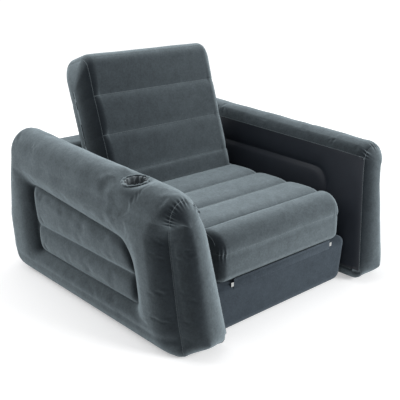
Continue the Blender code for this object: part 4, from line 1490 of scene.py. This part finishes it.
loops = [well_loop(r, 0.006 + 0.004 * np.sin(cup_turns * 5)) for r in (0.004, 0.014, 0.024, 0.031)]
for share in np.linspace(0.02, 1, 22):
    fold = pleat_depth * (0.2 + 0.8 * sin(pi * (0.12 + 0.6 * share))) * cup_wave ** 1.6 * strength
    loops.append(well_loop(0.0362 + 0.0044 * ease(share * 2.2) - fold - 0.0003, share))
for radius, share in ((well_outside, 1.0), (well_outside, 0.5), (well_foot_radius, 0.0), (0.004, 0.0)):
    loops.append(well_loop(np.full(cup_points, radius), share))
well = place_mesh("cup_holder_well_film", mesh_of_grid("cup_holder_well_film", np.array(loops)), painted_light_cup_film)
hand_over(well, "surround", "cup_film", "cup_holder_well", fill=0.3)

lip_half_width, lip_half_height = 0.0064, 0.0046
pinch = 1 - 0.28 * cup_wave ** 3
roll = []
for turn in np.linspace(0, tau, 16, endpoint=False):
    across = cup_radius + 0.0055 + (lip_half_width * pinch) * cos(turn)
    height = top_heights + 0.0012 + lip_half_height * pinch * sin(turn)
    roll.append(np.stack([cup_x + across * np.cos(cup_turns), cup_y + across * np.sin(cup_turns),
                          height], axis=1))
lip = place_mesh("cup_holder_roll", ring_mesh("cup_holder_roll", np.array(roll)), film_flocked)
hand_over(lip, "surround", "flocked_film", "cup_holder_lip", fill=0.9)
print("cup holder:", len(well.data.vertices), "points in the well,", len(lip.data.vertices), "in the lip")

# %% [markdown]
# At each fold the seat, the base and the backrest hang together by a strip of film, welded to both
# chambers a little way from the fold. The front strip is dark flocked film and the rear one is bare
# vinyl. Two tabs hold the ends of the front strip; they are real parts, painted pale as a painted
# glint where their edges catch the light. One bending strip would need blending across the joint.
# Two leaves that meet on the fold's line, one on each body, stay clean at every angle.

# %% Hinge films
leaf_round, leaf_near, leaf_far = 0.00012, 0.0002, 0.0006


def leaf(name, body, node, low, high, matrix, material, weld_height):
    """A flat leaf between two corners of its local frame, with its weld line."""
    sheet = block(name, low, high, leaf_round, matrix, material)
    middle = (low[1] + high[1]) / 2
    line = [matrix @ Vector((x, middle, weld_height))
            for x in np.linspace(low[0] + 0.001, high[0] - 0.001, 30)]
    weld = bead("line", line, 0.0004, film_vinyl, closed=False)
    return hand_over(joined(name, [sheet, weld]), body, "flap_film", node)


reach = 0.2664
still = Matrix.Identity(4)
leaf("seat_hinge_lower_leaf", "surround", "seat_flap_lower",
     (-reach, hinge_y + leaf_near, hinge_z - 0.027), (reach, hinge_y + leaf_far, hinge_z - 0.0002),
     still, film_base, hinge_z - 0.023)
leaf("seat_hinge_upper_leaf", "fold_out_seat", "seat_flap_upper",
     (-reach, leaf_near, 0.0002), (reach, leaf_far, 0.011), seat_turn, film_base, 0.009)
leaf("back_hinge_lower_leaf", "fold_out_seat", "backrest_flap_lower",
     (-reach, seat_length - 0.0007, 0.117), (reach, seat_length - 0.0003, 0.1668),
     seat_turn, film_vinyl, 0.121)
leaf("back_hinge_upper_leaf", "backrest", "backrest_flap_upper",
     (-reach, leaf_near, -0.05), (reach, leaf_far, -0.0002), back_turn, film_vinyl, -0.046)
for word, side in (("left", -1), ("right", 1)):
    near, far = side * (reach + 0.0003), side * (reach + 0.0125)
    # each tab is pale, a painted glint where its edge would catch the light
    patch = block(f"hinge_patch_{word}", (min(near, far), hinge_y + 0.0001, 0.170),
                  (max(near, far), hinge_y + 0.0007, 0.1855), 0.0002, still, painted_glint_tab_film)
    hand_over(patch, "surround", "pale_film", f"hinge_tab_{word}")
print("hinge films are", round(reach * 2, 3), "m wide")

# %% [markdown]
# Each valve has four moving things. A wide body screws into a flange that is welded to the film. Its
# small nozzle takes a pump, and a cap on a short strap closes the nozzle. A thin disc inside falls
# shut when the pump stops. The ridges round the body's rim give the fingers a grip.

# %% Valves
def make_valve(name, host):
    """A valve's five pieces, drawn with its axis along z and 0 at the film, then put in place."""
    place = valve_places[name]
    top = 0.0015
    rim_low, rim_high = top + chamber_gap, top + 0.0048
    nozzle_top = rim_high + 0.0042
    lid_low = nozzle_top + chamber_gap
    hinge_height = lid_low + 0.001
    flange = turned(name + "_ring", rounded([
        (0.0235, -0.018), (0.0265, -0.018), (0.0265, 0.0003), (0.034, 0.0003), (0.034, top),
        (0.0235, top)], 0.0006), place, plastic_valve)
    hand_over(flange, host, "valve_plastic", name + "_flange")
    body = turned(name + "_plug", rounded([
        (0.0095, -0.014), (0.023, -0.014), (0.023, rim_low), (0.0285, rim_low), (0.0285, rim_high),
        (0.0215, rim_high), (0.0205, rim_high - 0.0014), (0.0148, rim_high - 0.0014),
        (0.0125, rim_high - 0.0004), (0.0125, nozzle_top), (0.0095, nozzle_top)], 0.0005),
        place, plastic_valve,
        sides=120, grip=(0.026, 24, 0.0012))
    hand_over(body, name, "valve_plastic", name + "_body")
    strap = block(name + "_tongue", (-0.0223, -0.004, rim_high + 0.0003),
                  (-0.0157, 0.004, hinge_height - 0.001), 0.0008, place, plastic_valve)
    hand_over(strap, name, "valve_plastic", name + "_strap")
    cap = turned(name + "_lid", rounded([
        (0.0004, lid_low), (0.013, lid_low), (0.013, lid_low - 0.0012), (0.015, lid_low - 0.0012),
        (0.015, lid_low + 0.002), (0.0004, lid_low + 0.002)], 0.0005)[2:-2], place, plastic_valve,
        closed=False, sides=72)
    low, high = hinge_height - 0.0007, hinge_height + 0.0007
    ear = block(name + "_ear", (-0.0191, -0.004, low), (-0.0115, 0.004, high), 0.0004, place, plastic_valve)
    tab = block(name + "_tab", (0.0115, -0.0035, low), (0.0178, 0.0035, high), 0.0005, place, plastic_valve)
    cap = united(united(cap, ear), tab)
    hand_over(cap, name + "_lid", "valve_plastic", name + "_cap")
    disc = turned(name + "_disc", rounded([
        (0.0004, -0.0151), (0.0122, -0.0151), (0.0122, -0.0143), (0.0004, -0.0143)], 0.0002)[2:-2],
        place, film_check, closed=False)
    hand_over(disc, name + "_check", "valve_flap_film", name + "_flap")
    print(name, "stands", round((lid_low + 0.002) * 1000, 1), "mm proud of the film")


make_valve("seat_valve", "fold_out_seat")
make_valve("wall_valve", "surround")
make_valve("backrest_valve", "backrest")

# %% [markdown]
# The webs inside the chambers hold the grooves down. They don't show, because the chambers are
# closed, but they are given the look of bare film as well.

# %% Webs
webs = [node for name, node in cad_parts.items() if "_web" in name]
for node in webs:
    node.data.materials.clear()
    node.data.materials.append(film_web)
print("webs:", len(webs))

# %% [markdown]
# The chair stands on a plain pale floor that fades into white. Its glow is dimmer near the chair,
# which is a painted shadow round it. The light is soft: a weak lamp above, one behind it on the left,
# and a wide one in front on the right. The camera, gloss and glass see a white background, while the
# light that reaches the chair from all round is a soft grey. A stronger light could turn the floor
# white too, but it would bleach the film.

# %% Light and floor


def soft_light(name, place, aim, size, power):
    """A square lamp at a place, turned to its aim."""
    data = bpy.data.lights.new(name, "AREA")
    data.shape = "RECTANGLE"
    data.size, data.size_y = size, size
    data.energy = power
    lamp = bpy.data.objects.new(name, data)
    bpy.context.collection.objects.link(lamp)
    lamp.location = place
    lamp.rotation_euler = (Vector(aim) - Vector(place)).to_track_quat("-Z", "Y").to_euler()


soft_light("top_light", (0.0, 0.7, 3.0), (0, 0, 0.2), 2.0, 27)
soft_light("left_light", (-2.0, 2.3, 2.5), (-0.3, 0, 0.35), 1.8, 45)
soft_light("front_light", (1.7, -4.6, 2.3), (0.1, 0, 0.35), 2.0, 200)


def background_rays(paint):
    """1 for the rays that see the background plain: those of the camera, of gloss and of glass."""
    path = paint.node("ShaderNodeLightPath")
    rays = path["Is Camera Ray"]
    for kind in ("Is Glossy Ray", "Is Transmission Ray"):
        rays = rays.maths("MAXIMUM", rays, path[kind])
    return rays


sky = Paint("studio", bpy.data.worlds.new("studio"))
white = sky.node("ShaderNodeBackground", Color=(1, 1, 1, 1))
grey = sky.node("ShaderNodeBackground", Color=(0.97, 0.98, 1, 1), Strength=0.42)
mix = sky.node("ShaderNodeMixShader", **{"0": background_rays(sky), "1": grey["Background"],
                                         "2": white["Background"]})
bpy.context.scene.world = sky.finish(mix["Shader"], "ShaderNodeOutputWorld")

floor_half = 90
floor_mesh = bpy.data.meshes.new("floor")
floor_mesh.from_pydata([(-floor_half, -floor_half, 0), (floor_half, -floor_half, 0),
                        (floor_half, floor_half, 0), (-floor_half, floor_half, 0)], [], [(0, 1, 2, 3)])
floor_paint = Paint("floor")
seen = background_rays(floor_paint)
diffuse = floor_paint.node("ShaderNodeBsdfDiffuse", Color=(0.8, 0.8, 0.8, 1))
place = floor_paint.node("ShaderNodeTexCoord")["Object"]
away = floor_paint.node("ShaderNodeVectorMath", {"operation": "LENGTH"}, **{"0": place})
# painted shadow: the floor's glow is lower near the chair than far away
fade = floor_paint.node("ShaderNodeMapRange", {"interpolation_type": "SMOOTHSTEP"}, Value=away["Value"],
                        From_Min=0.8, From_Max=2.6, To_Min=0.40, To_Max=0.76)
glow = floor_paint.node("ShaderNodeEmission", Color=fade["Result"], Strength=seen)
both = floor_paint.node("ShaderNodeAddShader", **{"0": diffuse["BSDF"], "1": glow["Emission"]})
floor = place_mesh("floor", floor_mesh, floor_paint.finish(both["Shader"]))
print("lamps:", len(bpy.data.lights))
